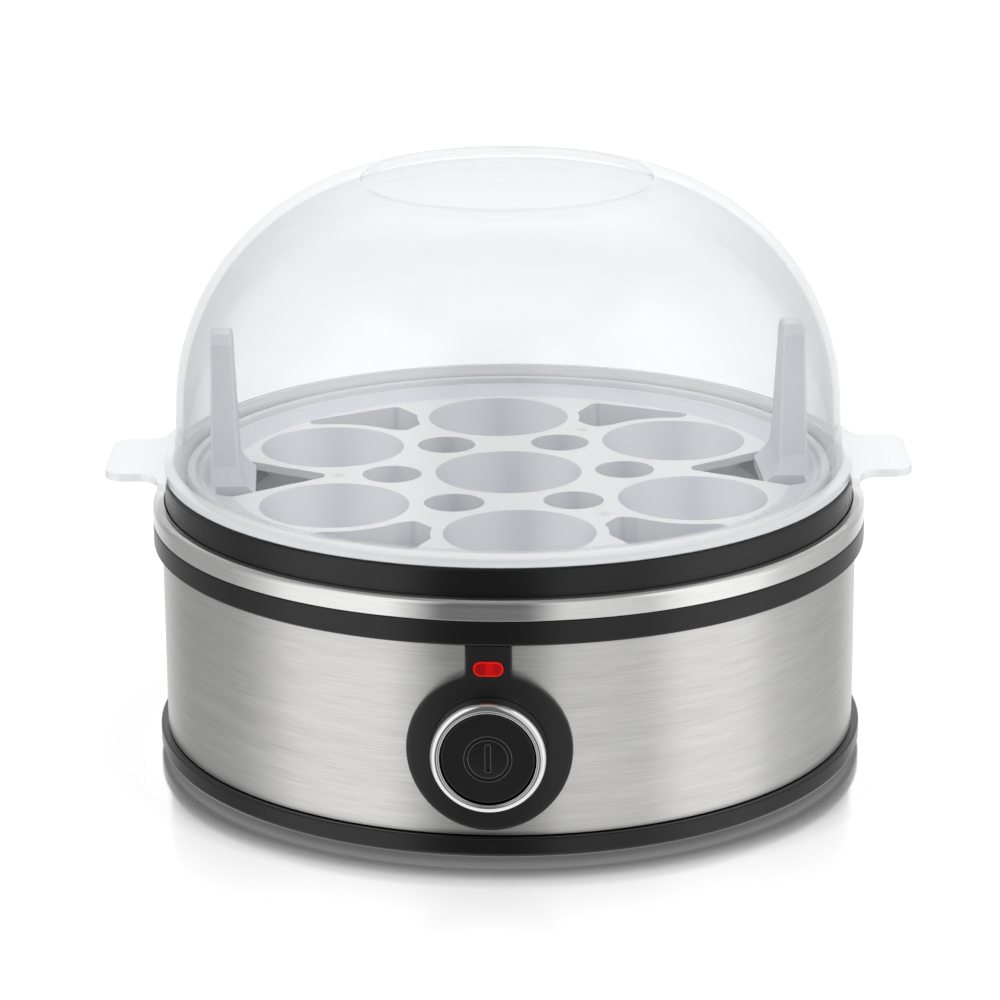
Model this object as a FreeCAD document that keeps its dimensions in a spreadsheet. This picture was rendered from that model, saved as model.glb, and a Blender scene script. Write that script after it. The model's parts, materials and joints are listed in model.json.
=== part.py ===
import FreeCAD, Part
import math
import os

import Sketcher
from FreeCAD import Placement, Rotation, Vector

# A seven-egg steam cooker: a round steel-wrapped base with a water plate, an egg
# tray that lifts out by two upright handles, and a domed lid that lifts off by
# two ears.  Millimetres, +Z up.  The origin is on the cooker's axis at the level
# of the table, the control panel faces -Y.

DIMENSIONS = {
    # base
    "foot_height": 1.5,         # rubber showing below the base ring
    "base_radius": 87.7,
    "base_height": 4.8,
    "floor_gauge": 2.2,
    "shadow_gap": 0.3,          # gap between stacked rings
    "wrap_radius": 85.9,        # main brushed band
    "sheet_gauge": 0.5,
    "wrap_height": 46.6,
    "shell_radius": 85.2,
    "shell_wall": 2.2,
    "band_radius": 88.0,
    "band_height": 5.9,
    "crown_height": 4.8,        # upper steel band
    "crown_round": 1.8,
    "rim_radius": 85.0,         # black ring under the lid
    "rim_height": 6.55,
    "rebate_radius": 81.3,
    "rebate_depth": 1.05,
    "bore_radius": 77.6,
    "seat_drop": 12.55,         # plate seat below the rim's top face
    "seat_radius": 70.0,
    "seat_gauge": 2.5,
    # water plate
    "gasket_gauge": 1.0,
    "plate_gauge": 1.2,
    "plate_radius": 77.0,
    "dish_radius": 66.0,
    "dish_depth": 8.5,
    "stud_circle": 73.6,
    "stud_radius": 1.9,
    "element_circle": 42.0,
    "element_radius": 3.3,
    # control panel
    "panel_height": 27.5,
    "panel_circle": 19.2,
    "panel_face": 87.6,
    "neck_width": 10.8,
    "neck_fillet": 2.0,         # where the neck meets the disc
    "lens_height": 47.8,
    "lens_width": 7.0,
    "lens_tall": 3.5,
    "bezel_radius": 13.5,
    "bezel_lip": 12.85,
    "bezel_bore": 11.15,
    "bezel_front": 92.3,
    "cap_radius": 10.8,
    "cap_front": 91.8,
    # egg tray
    "deck_height": 68.3,
    "deck_gauge": 2.0,
    "deck_radius": 69.8,
    "ledge_radius": 75.5,
    "ledge_height": 70.0,
    "tray_rim_radius": 79.3,
    "tray_rim_inner": 77.0,
    "tray_rim_height": 71.5,
    "egg_circle": 50.05,
    "egg_radius": 18.1,
    "cup_floor_radius": 12.4,
    "cup_depth": 11.4,
    "cup_wall": 1.6,
    "steam_circle": 28.85,
    "steam_radius": 7.3,
    "slot_margin": 3.0,         # deck left between an egg hole and a slot
    "handle_circle": 70.0,
    "handle_gauge": 5.3,
    "handle_top": 105.6,
    "handle_width": 11.0,
    "handle_foot": 24.0,
    "handle_toe": 62.5,         # where the handle's foot sweeps into the deck
    "toe_sweep": 9.0,
    "tray_turn": 6.1,           # degrees, as the tray was set down
    # lid
    "lid_height": 70.85,        # underside of the lid's rim
    "lid_radius": 84.9,
    "lid_rim_height": 2.6,
    "lid_neck_radius": 82.3,
    "lid_wall": 1.8,
    "lid_shoulder_radius": 81.35,
    "lid_shoulder_height": 91.2,
    "lid_crest_radius": 36.3,
    "lid_crest_height": 143.0,
    "lid_disc_radius": 35.1,
    "lid_recess": 1.1,
    "ear_reach": 99.2,
    "ear_width": 31.0,
    "ear_gauge": 2.0,
    "lid_turn": 3.3,
}

doc = FreeCAD.newDocument("egg_cooker")
sheet = doc.addObject("Spreadsheet::Sheet", "dims")
for row, (alias, length) in enumerate(DIMENSIONS.items(), start=1):
    sheet.set("A%d" % row, alias)
    sheet.set("B%d" % row, str(length))
    sheet.setAlias("B%d" % row, alias)
doc.recompute()


class Size:
    """A length that knows its value and the sheet expression behind it."""

    def __init__(self, value, text):
        self.value = value
        self.text = text

    @staticmethod
    def of(other):
        return other if isinstance(other, Size) else Size(float(other), repr(float(other)))

    def join(self, other, sign, value):
        return Size(value, "(%s %s %s)" % (self.text, sign, other.text))

    def __add__(self, other):
        other = Size.of(other)
        return self.join(other, "+", self.value + other.value)

    def __sub__(self, other):
        other = Size.of(other)
        return self.join(other, "-", self.value - other.value)

    def __mul__(self, other):
        other = Size.of(other)
        return self.join(other, "*", self.value * other.value)

    def __truediv__(self, other):
        other = Size.of(other)
        return self.join(other, "/", self.value / other.value)

    def __rsub__(self, other):
        return Size.of(other) - self

    def __neg__(self):
        return Size(-self.value, "(0 - %s)" % self.text)


def dim(alias):
    return Size(float(sheet.get(alias)), "dims." + alias)


def number(size):
    return Size.of(size).value


def bind(obj, prop, size):
    """Set a property to a number, or bind it to the sheet."""
    if isinstance(size, Size):
        obj.setExpression(prop, size.text)
    else:
        setattr(obj, prop, size)


def place(obj, x=0.0, y=0.0, z=0.0, rotation=None):
    """Give an object a Placement whose base may be bound to the sheet."""
    spots = (("x", x), ("y", y), ("z", z))
    base = Vector(*(number(value) for _, value in spots))
    obj.Placement = Placement(base, rotation or Rotation())
    for axis, value in spots:
        if isinstance(value, Size):
            obj.setExpression("Placement.Base." + axis, value.text)
    return obj


OUTWARD = Rotation(Vector(1, 0, 0), 90)     # a body's own +Z turned to face -Y
SPIN = Vector(0, 0, 1)

# ---------------------------------------------------------------- heights
foot = dim("foot_height")
base_top = foot + dim("base_height")
wrap_bottom = base_top + dim("shadow_gap")
wrap_top = wrap_bottom + dim("wrap_height")
band_bottom = wrap_top + 0.1
band_top = band_bottom + dim("band_height")
crown_bottom = band_top + 0.1
crown_top = crown_bottom + dim("crown_height")
rim_top = crown_top + dim("rim_height")
rebate_floor = rim_top - dim("rebate_depth")
seat_top = rim_top - dim("seat_drop")
seat_bottom = seat_top - dim("seat_gauge")
plate_bottom = seat_top + dim("gasket_gauge")
plate_top = plate_bottom + dim("plate_gauge")
dish_floor = plate_top - dim("dish_depth")
dish_under = dish_floor - dim("plate_gauge")
shell_inner = dim("shell_radius") - dim("shell_wall")
cover_floor = foot + dim("floor_gauge")
panel_z = dim("panel_height")


# ---------------------------------------------------------------- makers
def new_body(label):
    return doc.addObject("PartDesign::Body", label)


def origin_plane(body, role):
    return next(f for f in body.Origin.OriginFeatures if f.Role == role)


def pin_vertex(sketch, geometry, end, name, point):
    """Fix a sketch vertex by its two coordinates from the sketch origin."""
    for kind, coordinate in (("DistanceX", point[0]), ("DistanceY", point[1])):
        size = Size.of(coordinate)
        axis_line = -2 if kind == "DistanceX" else -1
        if abs(size.value) < 1e-9:
            sketch.addConstraint(Sketcher.Constraint("PointOnObject", geometry, end, axis_line))
            continue
        if size.value < 0:
            size = -size
            spot = sketch.addConstraint(
                Sketcher.Constraint(kind, geometry, end, -1, 1, size.value))
        else:
            spot = sketch.addConstraint(
                Sketcher.Constraint(kind, -1, 1, geometry, end, size.value))
        label = name + kind[-1]
        sketch.renameConstraint(spot, label)
        if isinstance(coordinate, Size):
            sketch.setExpression("Constraints." + label, size.text)


def arc_through(start, end, radius, left):
    """The arc of a given radius from start to end, bulging to its left or right."""
    a = Vector(*map(number, start), 0)
    b = Vector(*map(number, end), 0)
    chord = b - a
    half = chord.Length / 2
    normal = Vector(-chord.y, chord.x, 0).normalize()
    reach = math.sqrt(number(radius) ** 2 - half ** 2)
    side = 1 if left else -1
    middle = (a + b) * 0.5 + normal * side * (number(radius) - reach)
    return Part.Arc(a, middle, b)


def outline(body, name, plane, points, arcs=None, height=None):
    """A closed sketch.  arcs maps the index of a side to (radius, left)."""
    arcs = arcs or {}
    sketch = body.newObject("Sketcher::SketchObject", name)
    sketch.AttachmentSupport = (origin_plane(body, plane), [""])
    sketch.MapMode = "FlatFace"
    if height is not None:
        sketch.AttachmentOffset = Placement(Vector(0, 0, number(height)), Rotation())
        if isinstance(height, Size):
            sketch.setExpression("AttachmentOffset.Base.z", height.text)
    count = len(points)
    starts = []
    for i, start in enumerate(points):
        end = points[(i + 1) % count]
        if i in arcs:
            radius, left = arcs[i]
            arc = arc_through(start, end, radius, left)
            geometry = sketch.addGeometry(arc, False)
            flipped = (sketch.getPoint(geometry, 1)
                       - Vector(*map(number, start), 0)).Length > 1e-6
            starts.append((2, 1) if flipped else (1, 2))
        else:
            a = Vector(*map(number, start), 0)
            b = Vector(*map(number, end), 0)
            sketch.addGeometry(Part.LineSegment(a, b), False)
            starts.append((1, 2))
    for i in range(count):
        follower = (i + 1) % count
        sketch.addConstraint(Sketcher.Constraint(
            "Coincident", i, starts[i][1], follower, starts[follower][0]))
    for i, point in enumerate(points):
        pin_vertex(sketch, i, starts[i][0], "p%d" % i, point)
    for i, (radius, _) in arcs.items():
        spot = sketch.addConstraint(Sketcher.Constraint("Radius", i, number(radius)))
        sketch.renameConstraint(spot, "arc%d" % i)
        if isinstance(radius, Size):
            sketch.setExpression("Constraints.arc%d" % i, radius.text)
    return sketch


def circles(body, name, plane, spots, height=None):
    """A sketch of circles, each (x, y, radius)."""
    sketch = body.newObject("Sketcher::SketchObject", name)
    sketch.AttachmentSupport = (origin_plane(body, plane), [""])
    sketch.MapMode = "FlatFace"
    if height is not None:
        sketch.AttachmentOffset = Placement(Vector(0, 0, number(height)), Rotation())
        if isinstance(height, Size):
            sketch.setExpression("AttachmentOffset.Base.z", height.text)
    for i, (x, y, radius) in enumerate(spots):
        centre = Vector(number(x), number(y), 0)
        sketch.addGeometry(Part.Circle(centre, Vector(0, 0, 1), number(radius)), False)
        pin_vertex(sketch, i, 3, "c%d" % i, (x, y))
        spot = sketch.addConstraint(Sketcher.Constraint("Radius", i, number(radius)))
        sketch.renameConstraint(spot, "r%d" % i)
        if isinstance(radius, Size):
            sketch.setExpression("Constraints.r%d" % i, radius.text)
    return sketch


def revolve(body, points, arcs=None, name="profile"):
    """Turn a closed half section (radius, height) about the body's own Z."""
    sketch = outline(body, name, "XZ_Plane", points, arcs)
    turn = body.newObject("PartDesign::Revolution", name + "_turned")
    turn.Profile = sketch
    turn.ReferenceAxis = (sketch, ["V_Axis"])
    turn.Angle = 360
    return turn


def pad(body, sketch, length, name):
    feature = body.newObject("PartDesign::Pad", name)
    feature.Profile = sketch
    bind(feature, "Length", length)
    return feature


def pocket(body, sketch, length, name, up=False):
    """Cut along the sketch's -Z, or along +Z where up is set."""
    feature = body.newObject("PartDesign::Pocket", name)
    feature.Profile = sketch
    bind(feature, "Length", length)
    feature.Reversed = up
    return feature


def repeat(body, features, count, name):
    pattern = body.newObject("PartDesign::PolarPattern", name)
    pattern.Originals = features
    pattern.Axis = (origin_plane(body, "Z_Axis"), [""])
    pattern.Angle = 360
    pattern.Occurrences = count
    body.Tip = pattern
    return pattern


def rim_edges(shape, radius, height):
    """Names of the full circles of a given radius at a given height."""
    names = []
    for i, edge in enumerate(shape.Edges, start=1):
        curve = edge.Curve
        if not isinstance(curve, Part.Circle):
            continue
        level = abs(curve.Center.z - number(height)) < 1e-4
        if level and abs(curve.Radius - number(radius)) < 1e-4:
            names.append("Edge%d" % i)
    return names


def soften(body, rims, radius, name, kind="Fillet"):
    """Round or bevel circular edges, each given by (radius, height)."""
    doc.recompute()
    base = body.Tip
    names = []
    for rim_radius, rim_height in rims:
        names += rim_edges(base.Shape, rim_radius, rim_height)
    feature = body.newObject("PartDesign::" + kind, name)
    feature.Base = (base, names)
    bind(feature, "Radius" if kind == "Fillet" else "Size", radius)
    return feature


def primitive(kind, name, spot=(0, 0, 0), rotation=None, **sizes):
    obj = doc.addObject("Part::" + kind, name)
    for prop, size in sizes.items():
        bind(obj, prop, size)
    return place(obj, *spot, rotation=rotation)


def cylinder(name, radius, height, spot=(0, 0, 0), rotation=None):
    return primitive("Cylinder", name, spot, rotation, Radius=radius, Height=height)


def block(name, length, width, height, spot=(0, 0, 0), rotation=None):
    return primitive("Box", name, spot, rotation, Length=length, Width=width, Height=height)


def cut(label, base, tool):
    obj = doc.addObject("Part::Cut", label)
    obj.Base = base
    obj.Tool = tool
    return obj


def fuse(label, shapes):
    obj = doc.addObject("Part::MultiFuse", label)
    obj.Shapes = shapes
    return obj


def common(label, shapes):
    obj = doc.addObject("Part::MultiCommon", label)
    obj.Shapes = shapes
    return obj


def group(label, members):
    """Identical separate solids that share one node."""
    obj = doc.addObject("Part::Compound", label)
    obj.Links = members
    return obj


def polar(radius, degrees, z):
    """A place on a circle about the cooker's axis, bound to the sheet."""
    angle = math.radians(degrees)
    return (Size.of(radius) * math.cos(angle), Size.of(radius) * math.sin(angle), z)


def screw(name, head_radius, head_height, shank_radius, shank_length, spot, rotation=None):
    """A pan-head screw: its head starts at spot, its shank runs along its own +Z."""
    head = cylinder(name + "_head", head_radius, head_height)
    shank = cylinder(name + "_shank", shank_radius, shank_length, (0, 0, head_height))
    solid = fuse(name + "_solid", [head, shank])
    slots = []
    for turn in (0, 90):
        length = number(head_radius) * 1.2
        corner = Rotation(SPIN, turn).multVec(Vector(-length / 2, -0.4, 0))
        slots.append(block("%s_slot%d" % (name, turn), length, 0.8, number(head_height) * 0.55,
                           (corner.x, corner.y, -0.01), Rotation(SPIN, turn)))
    cross = fuse(name + "_cross", slots)
    return place(cut(name, solid, cross), *spot, rotation=rotation)


def tube_path(points):
    """Straight runs joined by tangent arcs, as large as the two runs allow."""
    points = [Vector(*p) for p in points]
    edges = []
    start = points[0]
    radii = []
    for before, corner, after in zip(points, points[1:], points[2:]):
        run_in = corner - before
        run_out = after - corner
        turn = run_in.getAngle(run_out)
        reach = 0.45 * min(run_in.Length, run_out.Length)
        radii.append(reach / math.tan(turn / 2))
        enter = corner - Vector(run_in).normalize() * reach
        leave = corner + Vector(run_out).normalize() * reach
        inward = Vector(run_out).normalize() - Vector(run_in).normalize()
        sagitta = radii[-1] / math.cos(turn / 2) - radii[-1]
        middle = corner + inward.normalize() * sagitta
        edges.append(Part.LineSegment(start, enter).toShape())
        edges.append(Part.Arc(enter, middle, leave).toShape())
        start = leave
    edges.append(Part.LineSegment(start, points[-1]).toShape())
    return Part.Wire(edges), radii


def wire_solid(points, diameter):
    """A round lead swept along its route."""
    path, radii = tube_path(points)
    first = Vector(*points[1]) - Vector(*points[0])
    section = Part.Wire([Part.Circle(Vector(*points[0]), first, diameter / 2).toShape()])
    solid = path.makePipeShell([section], True, False)
    expected = math.pi * diameter ** 2 / 4 * path.Length
    print("lead: length %.1f mm, tightest bend %.1f mm, volume %.3f of expected"
          % (path.Length, min(radii), solid.Volume / expected))
    return solid


def lead(label, routes, diameter):
    """Insulated leads that the housing holds all the way, as one node."""
    solids = [wire_solid(points, diameter) for points in routes]
    feature = doc.addObject("Part::Feature", label)
    feature.Shape = solids[0] if len(solids) == 1 else Part.makeCompound(solids)
    return feature


parts = []


def keep(obj):
    parts.append(obj)
    return obj


# ---------------------------------------------------------------- base
BOSS_ANGLES = (60, 180, 300)
FOOT_ANGLES = (45, 135, 225, 315)
STUD_ANGLES = (90, 210, 330)
BOSS_CIRCLE = 75.5
FOOT_CIRCLE = 71.0
UPSTAND_OUTER = 82.6
UPSTAND_INNER = 80.4


def bottom_cover():
    """The black moulded bottom with the ring that shows below the steel."""
    body = new_body("bottom_cover")
    lip_top = base_top + 6.0
    revolve(body, [
        (0, foot), (dim("base_radius"), foot), (dim("base_radius"), base_top),
        (UPSTAND_OUTER, base_top), (UPSTAND_OUTER, lip_top), (UPSTAND_INNER, lip_top),
        (UPSTAND_INNER, cover_floor), (0, cover_floor)])
    soften(body, [(dim("base_radius"), foot)], 1.2, "lower_round")
    soften(body, [(dim("base_radius"), base_top)], 0.6, "upper_round")
    doc.recompute()
    boss_top = wrap_bottom
    spot = polar(BOSS_CIRCLE, BOSS_ANGLES[0], 0)
    boss = pad(body, circles(body, "boss_outline", "XY_Plane",
                             [(spot[0], spot[1], 4.6)], cover_floor - 0.5),
               boss_top - cover_floor + 0.4, "boss")
    repeat(body, [boss], len(BOSS_ANGLES), "bosses")
    sink = pocket(body, circles(body, "sink_outline", "XY_Plane",
                                [(spot[0], spot[1], 3.4)], foot), 2.4, "sink", up=True)
    shaft = pocket(body, circles(body, "shaft_outline", "XY_Plane",
                                 [(spot[0], spot[1], 1.7)], foot), 12.0, "shaft", up=True)
    repeat(body, [sink, shaft], len(BOSS_ANGLES), "screw_holes")
    seat = polar(FOOT_CIRCLE, FOOT_ANGLES[0], 0)
    recess = pocket(body, circles(body, "foot_outline", "XY_Plane",
                                  [(seat[0], seat[1], 6.2)], foot), 1.0, "foot_recess", up=True)
    repeat(body, [recess], len(FOOT_ANGLES), "foot_recesses")
    return body


keep(bottom_cover())


def rubber_foot(index, degrees):
    """A tapered rubber pad pressed into a recess of the cover."""
    body = new_body("foot_%d" % index)
    top = foot + 0.95
    revolve(body, [(0, 0), (5.4, 0), (6.0, foot - 0.1), (6.0, top), (0, top)])
    soften(body, [(5.4, 0)], 0.5, "tread_round")
    return place(body, *polar(FOOT_CIRCLE, degrees, 0))


keep(group("rubber_feet", [rubber_foot(i, a) for i, a in enumerate(FOOT_ANGLES)]))
keep(group("bottom_screws", [
    screw("bottom_screw_%d" % i, 3.1, 1.8, 1.45, 13.0, polar(BOSS_CIRCLE, a, foot + 0.55))
    for i, a in enumerate(BOSS_ANGLES)]))

WINDOW_RADIUS = 15.4
LAMP_WINDOW = (8.4, 5.2)        # width, height
GLAND_Z = 22.0
GLAND_NECK = 6.0


def panel_openings(body, reach):
    """The control opening and lamp window in front, the lead opening behind."""
    front = outline(body, "lamp_window", "XZ_Plane", [
        (-LAMP_WINDOW[0] / 2, dim("lens_height") - LAMP_WINDOW[1] / 2),
        (LAMP_WINDOW[0] / 2, dim("lens_height") - LAMP_WINDOW[1] / 2),
        (LAMP_WINDOW[0] / 2, dim("lens_height") + LAMP_WINDOW[1] / 2),
        (-LAMP_WINDOW[0] / 2, dim("lens_height") + LAMP_WINDOW[1] / 2)])
    control = circles(body, "control_window", "XZ_Plane", [(0, panel_z, WINDOW_RADIUS)])
    gland = circles(body, "gland_hole", "XZ_Plane", [(0, GLAND_Z, GLAND_NECK + 0.1)])
    # The XZ plane's own normal is -Y, so a pocket cuts towards +Y unless reversed.
    pocket(body, control, reach, "control_opening", up=True)
    pocket(body, front, reach, "lamp_opening", up=True)
    pocket(body, gland, reach, "gland_opening")


def housing_shell():
    """The black inner housing that carries the steel band and the switch."""
    body = new_body("housing_shell")
    revolve(body, [
        (shell_inner, wrap_bottom), (dim("shell_radius"), wrap_bottom),
        (dim("shell_radius"), wrap_top), (shell_inner, wrap_top)])
    panel_openings(body, 100.0)
    spot = polar(BOSS_CIRCLE, BOSS_ANGLES[0], 0)
    angle = math.radians(BOSS_ANGLES[0])
    outward = Vector(math.cos(angle), math.sin(angle), 0)
    across = Vector(-outward.y, outward.x, 0)
    boss = pad(body, circles(body, "boss_outline", "XY_Plane",
                             [(spot[0], spot[1], 4.2)], wrap_bottom + 0.3), 22.0, "boss")
    # The rib starts clear of the screw hole and ends inside the housing's wall.
    corners = [outward * 78.6 + across * -1.2, outward * 84.0 + across * -1.2,
               outward * 84.0 + across * 1.2, outward * 78.6 + across * 1.2]
    rib = pad(body, outline(body, "rib_outline", "XY_Plane",
                            [(c.x, c.y) for c in corners], None, wrap_bottom + 7.0),
              15.3, "rib")
    repeat(body, [boss, rib], len(BOSS_ANGLES), "bosses")
    hole = pocket(body, circles(body, "screw_outline", "XY_Plane",
                                [(spot[0], spot[1], 1.45)], wrap_bottom), 16.0,
                  "screw_hole", up=True)
    repeat(body, [hole], len(BOSS_ANGLES), "screw_holes")
    return body


keep(housing_shell())


def steel_wrap():
    """The brushed steel band around the housing."""
    body = new_body("steel_wrap")
    inner = dim("wrap_radius") - dim("sheet_gauge")
    revolve(body, [
        (inner, wrap_bottom), (dim("wrap_radius"), wrap_bottom),
        (dim("wrap_radius"), wrap_top), (inner, wrap_top)])
    panel_openings(body, 100.0)
    return body


keep(steel_wrap())


def middle_band():
    """The black ring between the two steel bands."""
    body = new_body("middle_band")
    inner = shell_inner + 0.4
    outer = dim("band_radius")
    revolve(body, [(inner, band_bottom), (outer, band_bottom), (outer, band_top),
                   (inner, band_top)])
    soften(body, [(outer, band_bottom), (outer, band_top)], 0.6, "rounds")
    return body


keep(middle_band())


def upper_steel_band():
    """The rolled steel band with its rounded shoulder."""
    body = new_body("upper_steel_band")
    outer = dim("band_radius")
    inner = outer - dim("sheet_gauge")
    lip = dim("rim_radius") + 0.2
    under = crown_top - dim("sheet_gauge")
    revolve(body, [(inner, crown_bottom), (outer, crown_bottom), (outer, crown_top),
                   (lip, crown_top), (lip, under), (inner, under)])
    soften(body, [(outer, crown_top)], dim("crown_round"), "shoulder")
    soften(body, [(inner, under)], dim("crown_round") - dim("sheet_gauge"), "shoulder_inside")
    return body


keep(upper_steel_band())


def top_ring():
    """The black ring that seats the tray, the lid and the water plate."""
    body = new_body("top_ring")
    outer = dim("rim_radius")
    skirt = dim("band_radius") - dim("sheet_gauge") - 0.9
    step = crown_top - dim("sheet_gauge") - 0.15
    revolve(body, [
        (outer, rim_top), (dim("rebate_radius"), rim_top),
        (dim("rebate_radius"), rebate_floor), (dim("bore_radius"), rebate_floor),
        (dim("bore_radius"), seat_top), (dim("seat_radius"), seat_top),
        (dim("seat_radius"), seat_bottom), (shell_inner - 0.2, seat_bottom),
        (shell_inner - 0.2, crown_bottom), (skirt, crown_bottom),
        (skirt, step - 1.6), (outer, step)])
    soften(body, [(outer, rim_top)], 0.8, "rim_round")
    soften(body, [(dim("rebate_radius"), rim_top), (dim("bore_radius"), rebate_floor)],
           0.35, "inner_rounds")
    spot = polar(dim("stud_circle"), STUD_ANGLES[0], 0)
    hole = pocket(body, circles(body, "stud_outline", "XY_Plane",
                                [(spot[0], spot[1], dim("stud_radius") + 0.3)], seat_top + 1),
                  8.0, "stud_hole")
    repeat(body, [hole], len(STUD_ANGLES), "stud_holes")
    return body


keep(top_ring())


def plate_gasket():
    """The silicone ring under the water plate's flange."""
    body = new_body("plate_gasket")
    inner = dim("seat_radius") + 0.6
    outer = dim("plate_radius") - 0.2
    revolve(body, [(inner, seat_top), (outer, seat_top), (outer, plate_bottom),
                   (inner, plate_bottom)])
    spot = polar(dim("stud_circle"), STUD_ANGLES[0], 0)
    hole = pocket(body, circles(body, "stud_outline", "XY_Plane",
                                [(spot[0], spot[1], dim("stud_radius") + 0.3)], seat_top - 1),
                  6.0, "stud_hole", up=True)
    repeat(body, [hole], len(STUD_ANGLES), "stud_holes")
    return body


keep(plate_gasket())

THERMOSTAT_BOSS = 15.0          # half the distance between the thermostat's screws


def heating_plate():
    """The water dish, with welded studs for its nuts and for the thermostat."""
    body = new_body("heating_plate")
    gauge = dim("plate_gauge")
    dish = dim("dish_radius")
    revolve(body, [
        (0, dish_under), (dish - 3.0, dish_under), (dish + gauge, dish_under + 4.0),
        (dish + gauge, plate_bottom), (dim("plate_radius"), plate_bottom),
        (dim("plate_radius"), plate_top), (dish, plate_top),
        (dish, dish_floor + 3.4), (dish - 3.4, dish_floor), (0, dish_floor)])
    spot = polar(dim("stud_circle"), STUD_ANGLES[0], 0)
    stud = pad(body, circles(body, "stud_outline", "XY_Plane",
                             [(spot[0], spot[1], dim("stud_radius"))], seat_bottom - 5.0),
               plate_bottom - seat_bottom + 5.4, "stud")
    repeat(body, [stud], len(STUD_ANGLES), "studs")
    pad(body, circles(body, "boss_outline", "XY_Plane",
                      [(-THERMOSTAT_BOSS, 0, 2.6), (THERMOSTAT_BOSS, 0, 2.6)],
                      dish_under - 5.0), 5.4, "thermostat_studs")
    pocket(body, circles(body, "tap_outline", "XY_Plane",
                         [(-THERMOSTAT_BOSS, 0, 1.3), (THERMOSTAT_BOSS, 0, 1.3)],
                         dish_under - 5.0), 5.0, "tapped_holes", up=True)
    return body


keep(heating_plate())


def plate_nut(index, degrees):
    """A hexagon nut on a stud of the water plate."""
    blank = primitive("Prism", "nut_blank_%d" % index, Polygon=6, Circumradius=4.0, Height=3.0)
    hole = cylinder("nut_hole_%d" % index, dim("stud_radius") + 0.05, 5.0, (0, 0, -1))
    nut = cut("plate_nut_%d" % index, blank, hole)
    return place(nut, *polar(dim("stud_circle"), degrees, seat_bottom - 3.1))


keep(group("plate_nuts", [plate_nut(i, a) for i, a in enumerate(STUD_ANGLES)]))

# ---------------------------------------------------------------- heater
element_z = dish_under - dim("element_radius") - 0.1
ELEMENT_SWEEP = 300.0           # degrees of the ring
ELEMENT_START = 120.0           # the gap faces the back


def heating_element():
    """The tubular element: most of a ring, with two cold ends turned down."""
    ring = primitive("Torus", "element_ring", (0, 0, element_z), Rotation(SPIN, ELEMENT_START),
                     Radius1=dim("element_circle"), Radius2=dim("element_radius"),
                     Angle3=ELEMENT_SWEEP)
    pieces = [ring]
    for i, degrees in enumerate((ELEMENT_START, ELEMENT_START + ELEMENT_SWEEP)):
        spot = polar(dim("element_circle"), degrees, element_z)
        elbow = primitive("Sphere", "element_elbow_%d" % i, spot, Radius=dim("element_radius"))
        leg = cylinder("element_leg_%d" % i, dim("element_radius"), 9.0,
                       (spot[0], spot[1], element_z - 9.0))
        pieces += [elbow, leg]
    return fuse("heating_element", pieces)


keep(heating_element())


def element_pin(index, degrees):
    """A terminal pin with its ceramic collar, at the end of a cold leg."""
    pin = cylinder("pin_%d" % index, 1.4, 7.0, (0, 0, -7.0))
    collar = cylinder("collar_%d" % index, 2.6, 2.0, (0, 0, -2.0))
    whole = fuse("element_pin_%d" % index, [pin, collar])
    return place(whole, *polar(dim("element_circle"), degrees, element_z - 9.0))


keep(group("element_pins", [
    element_pin(i, a) for i, a in enumerate((ELEMENT_START, ELEMENT_START + ELEMENT_SWEEP))]))

THERMOSTAT_TOP = dish_under - 0.1


def thermostat():
    """The disc thermostat pressed against the underside of the plate."""
    cap = cylinder("thermostat_cap", 8.0, 4.0, (0, 0, -4.0))
    case = cylinder("thermostat_case", 6.6, 6.0, (0, 0, -10.0))
    tabs = [block("thermostat_tab_%d" % i, 0.8, 5.0, 7.0, (x - 0.4, -2.5, -16.5))
            for i, x in enumerate((-4.2, 4.2))]
    return place(fuse("thermostat", [cap, case] + tabs), 0, 0, THERMOSTAT_TOP)


keep(thermostat())
CLAMP_Z = dish_under - 6.2      # underside of the clamp strip


def thermostat_clamp():
    """The steel strip that holds the thermostat up."""
    strip = block("clamp_strip", 40.0, 18.0, 1.0, (-20.0, -9.0, 0))
    window = cylinder("clamp_window", 6.9, 4.0, (0, 0, -1.0))
    holes = [cylinder("clamp_hole_%d" % i, 1.6, 4.0, (x, 0, -1.0))
             for i, x in enumerate((-THERMOSTAT_BOSS, THERMOSTAT_BOSS))]
    return place(cut("thermostat_clamp", strip, fuse("clamp_holes", [window] + holes)),
                 0, 0, CLAMP_Z)


keep(thermostat_clamp())
keep(group("thermostat_screws", [
    screw("thermostat_screw_%d" % i, 2.5, 1.4, 1.25, 4.4, (x, 0, CLAMP_Z - 1.45))
    for i, x in enumerate((-THERMOSTAT_BOSS, THERMOSTAT_BOSS))]))

FUSE_Y = 26.0
FUSE_Z = dish_under - 2.8


def thermal_fuse():
    """The one-shot fuse with its two stiff tails."""
    case = cylinder("fuse_case", 1.9, 11.0, (-5.5, 0, 0), Rotation(Vector(0, 1, 0), 90))
    tails = cylinder("fuse_tails", 0.5, 30.0, (-15.0, 0, 0), Rotation(Vector(0, 1, 0), 90))
    return place(fuse("thermal_fuse", [case, tails]), 0, FUSE_Y, FUSE_Z)


def fuse_sleeve():
    """The glass-fibre sleeve over the fuse."""
    along = Rotation(Vector(0, 1, 0), 90)
    outer = cylinder("sleeve_outer", 2.5, 22.0, (-11.0, 0, 0), along)
    inner = cylinder("sleeve_inner", 2.0, 30.0, (-15.0, 0, 0), along)
    return place(cut("fuse_sleeve", outer, inner), 0, FUSE_Y, FUSE_Z)


keep(thermal_fuse())
keep(fuse_sleeve())

# ---------------------------------------------------------------- mains entry
BLOCK_Y = 52.0


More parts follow.
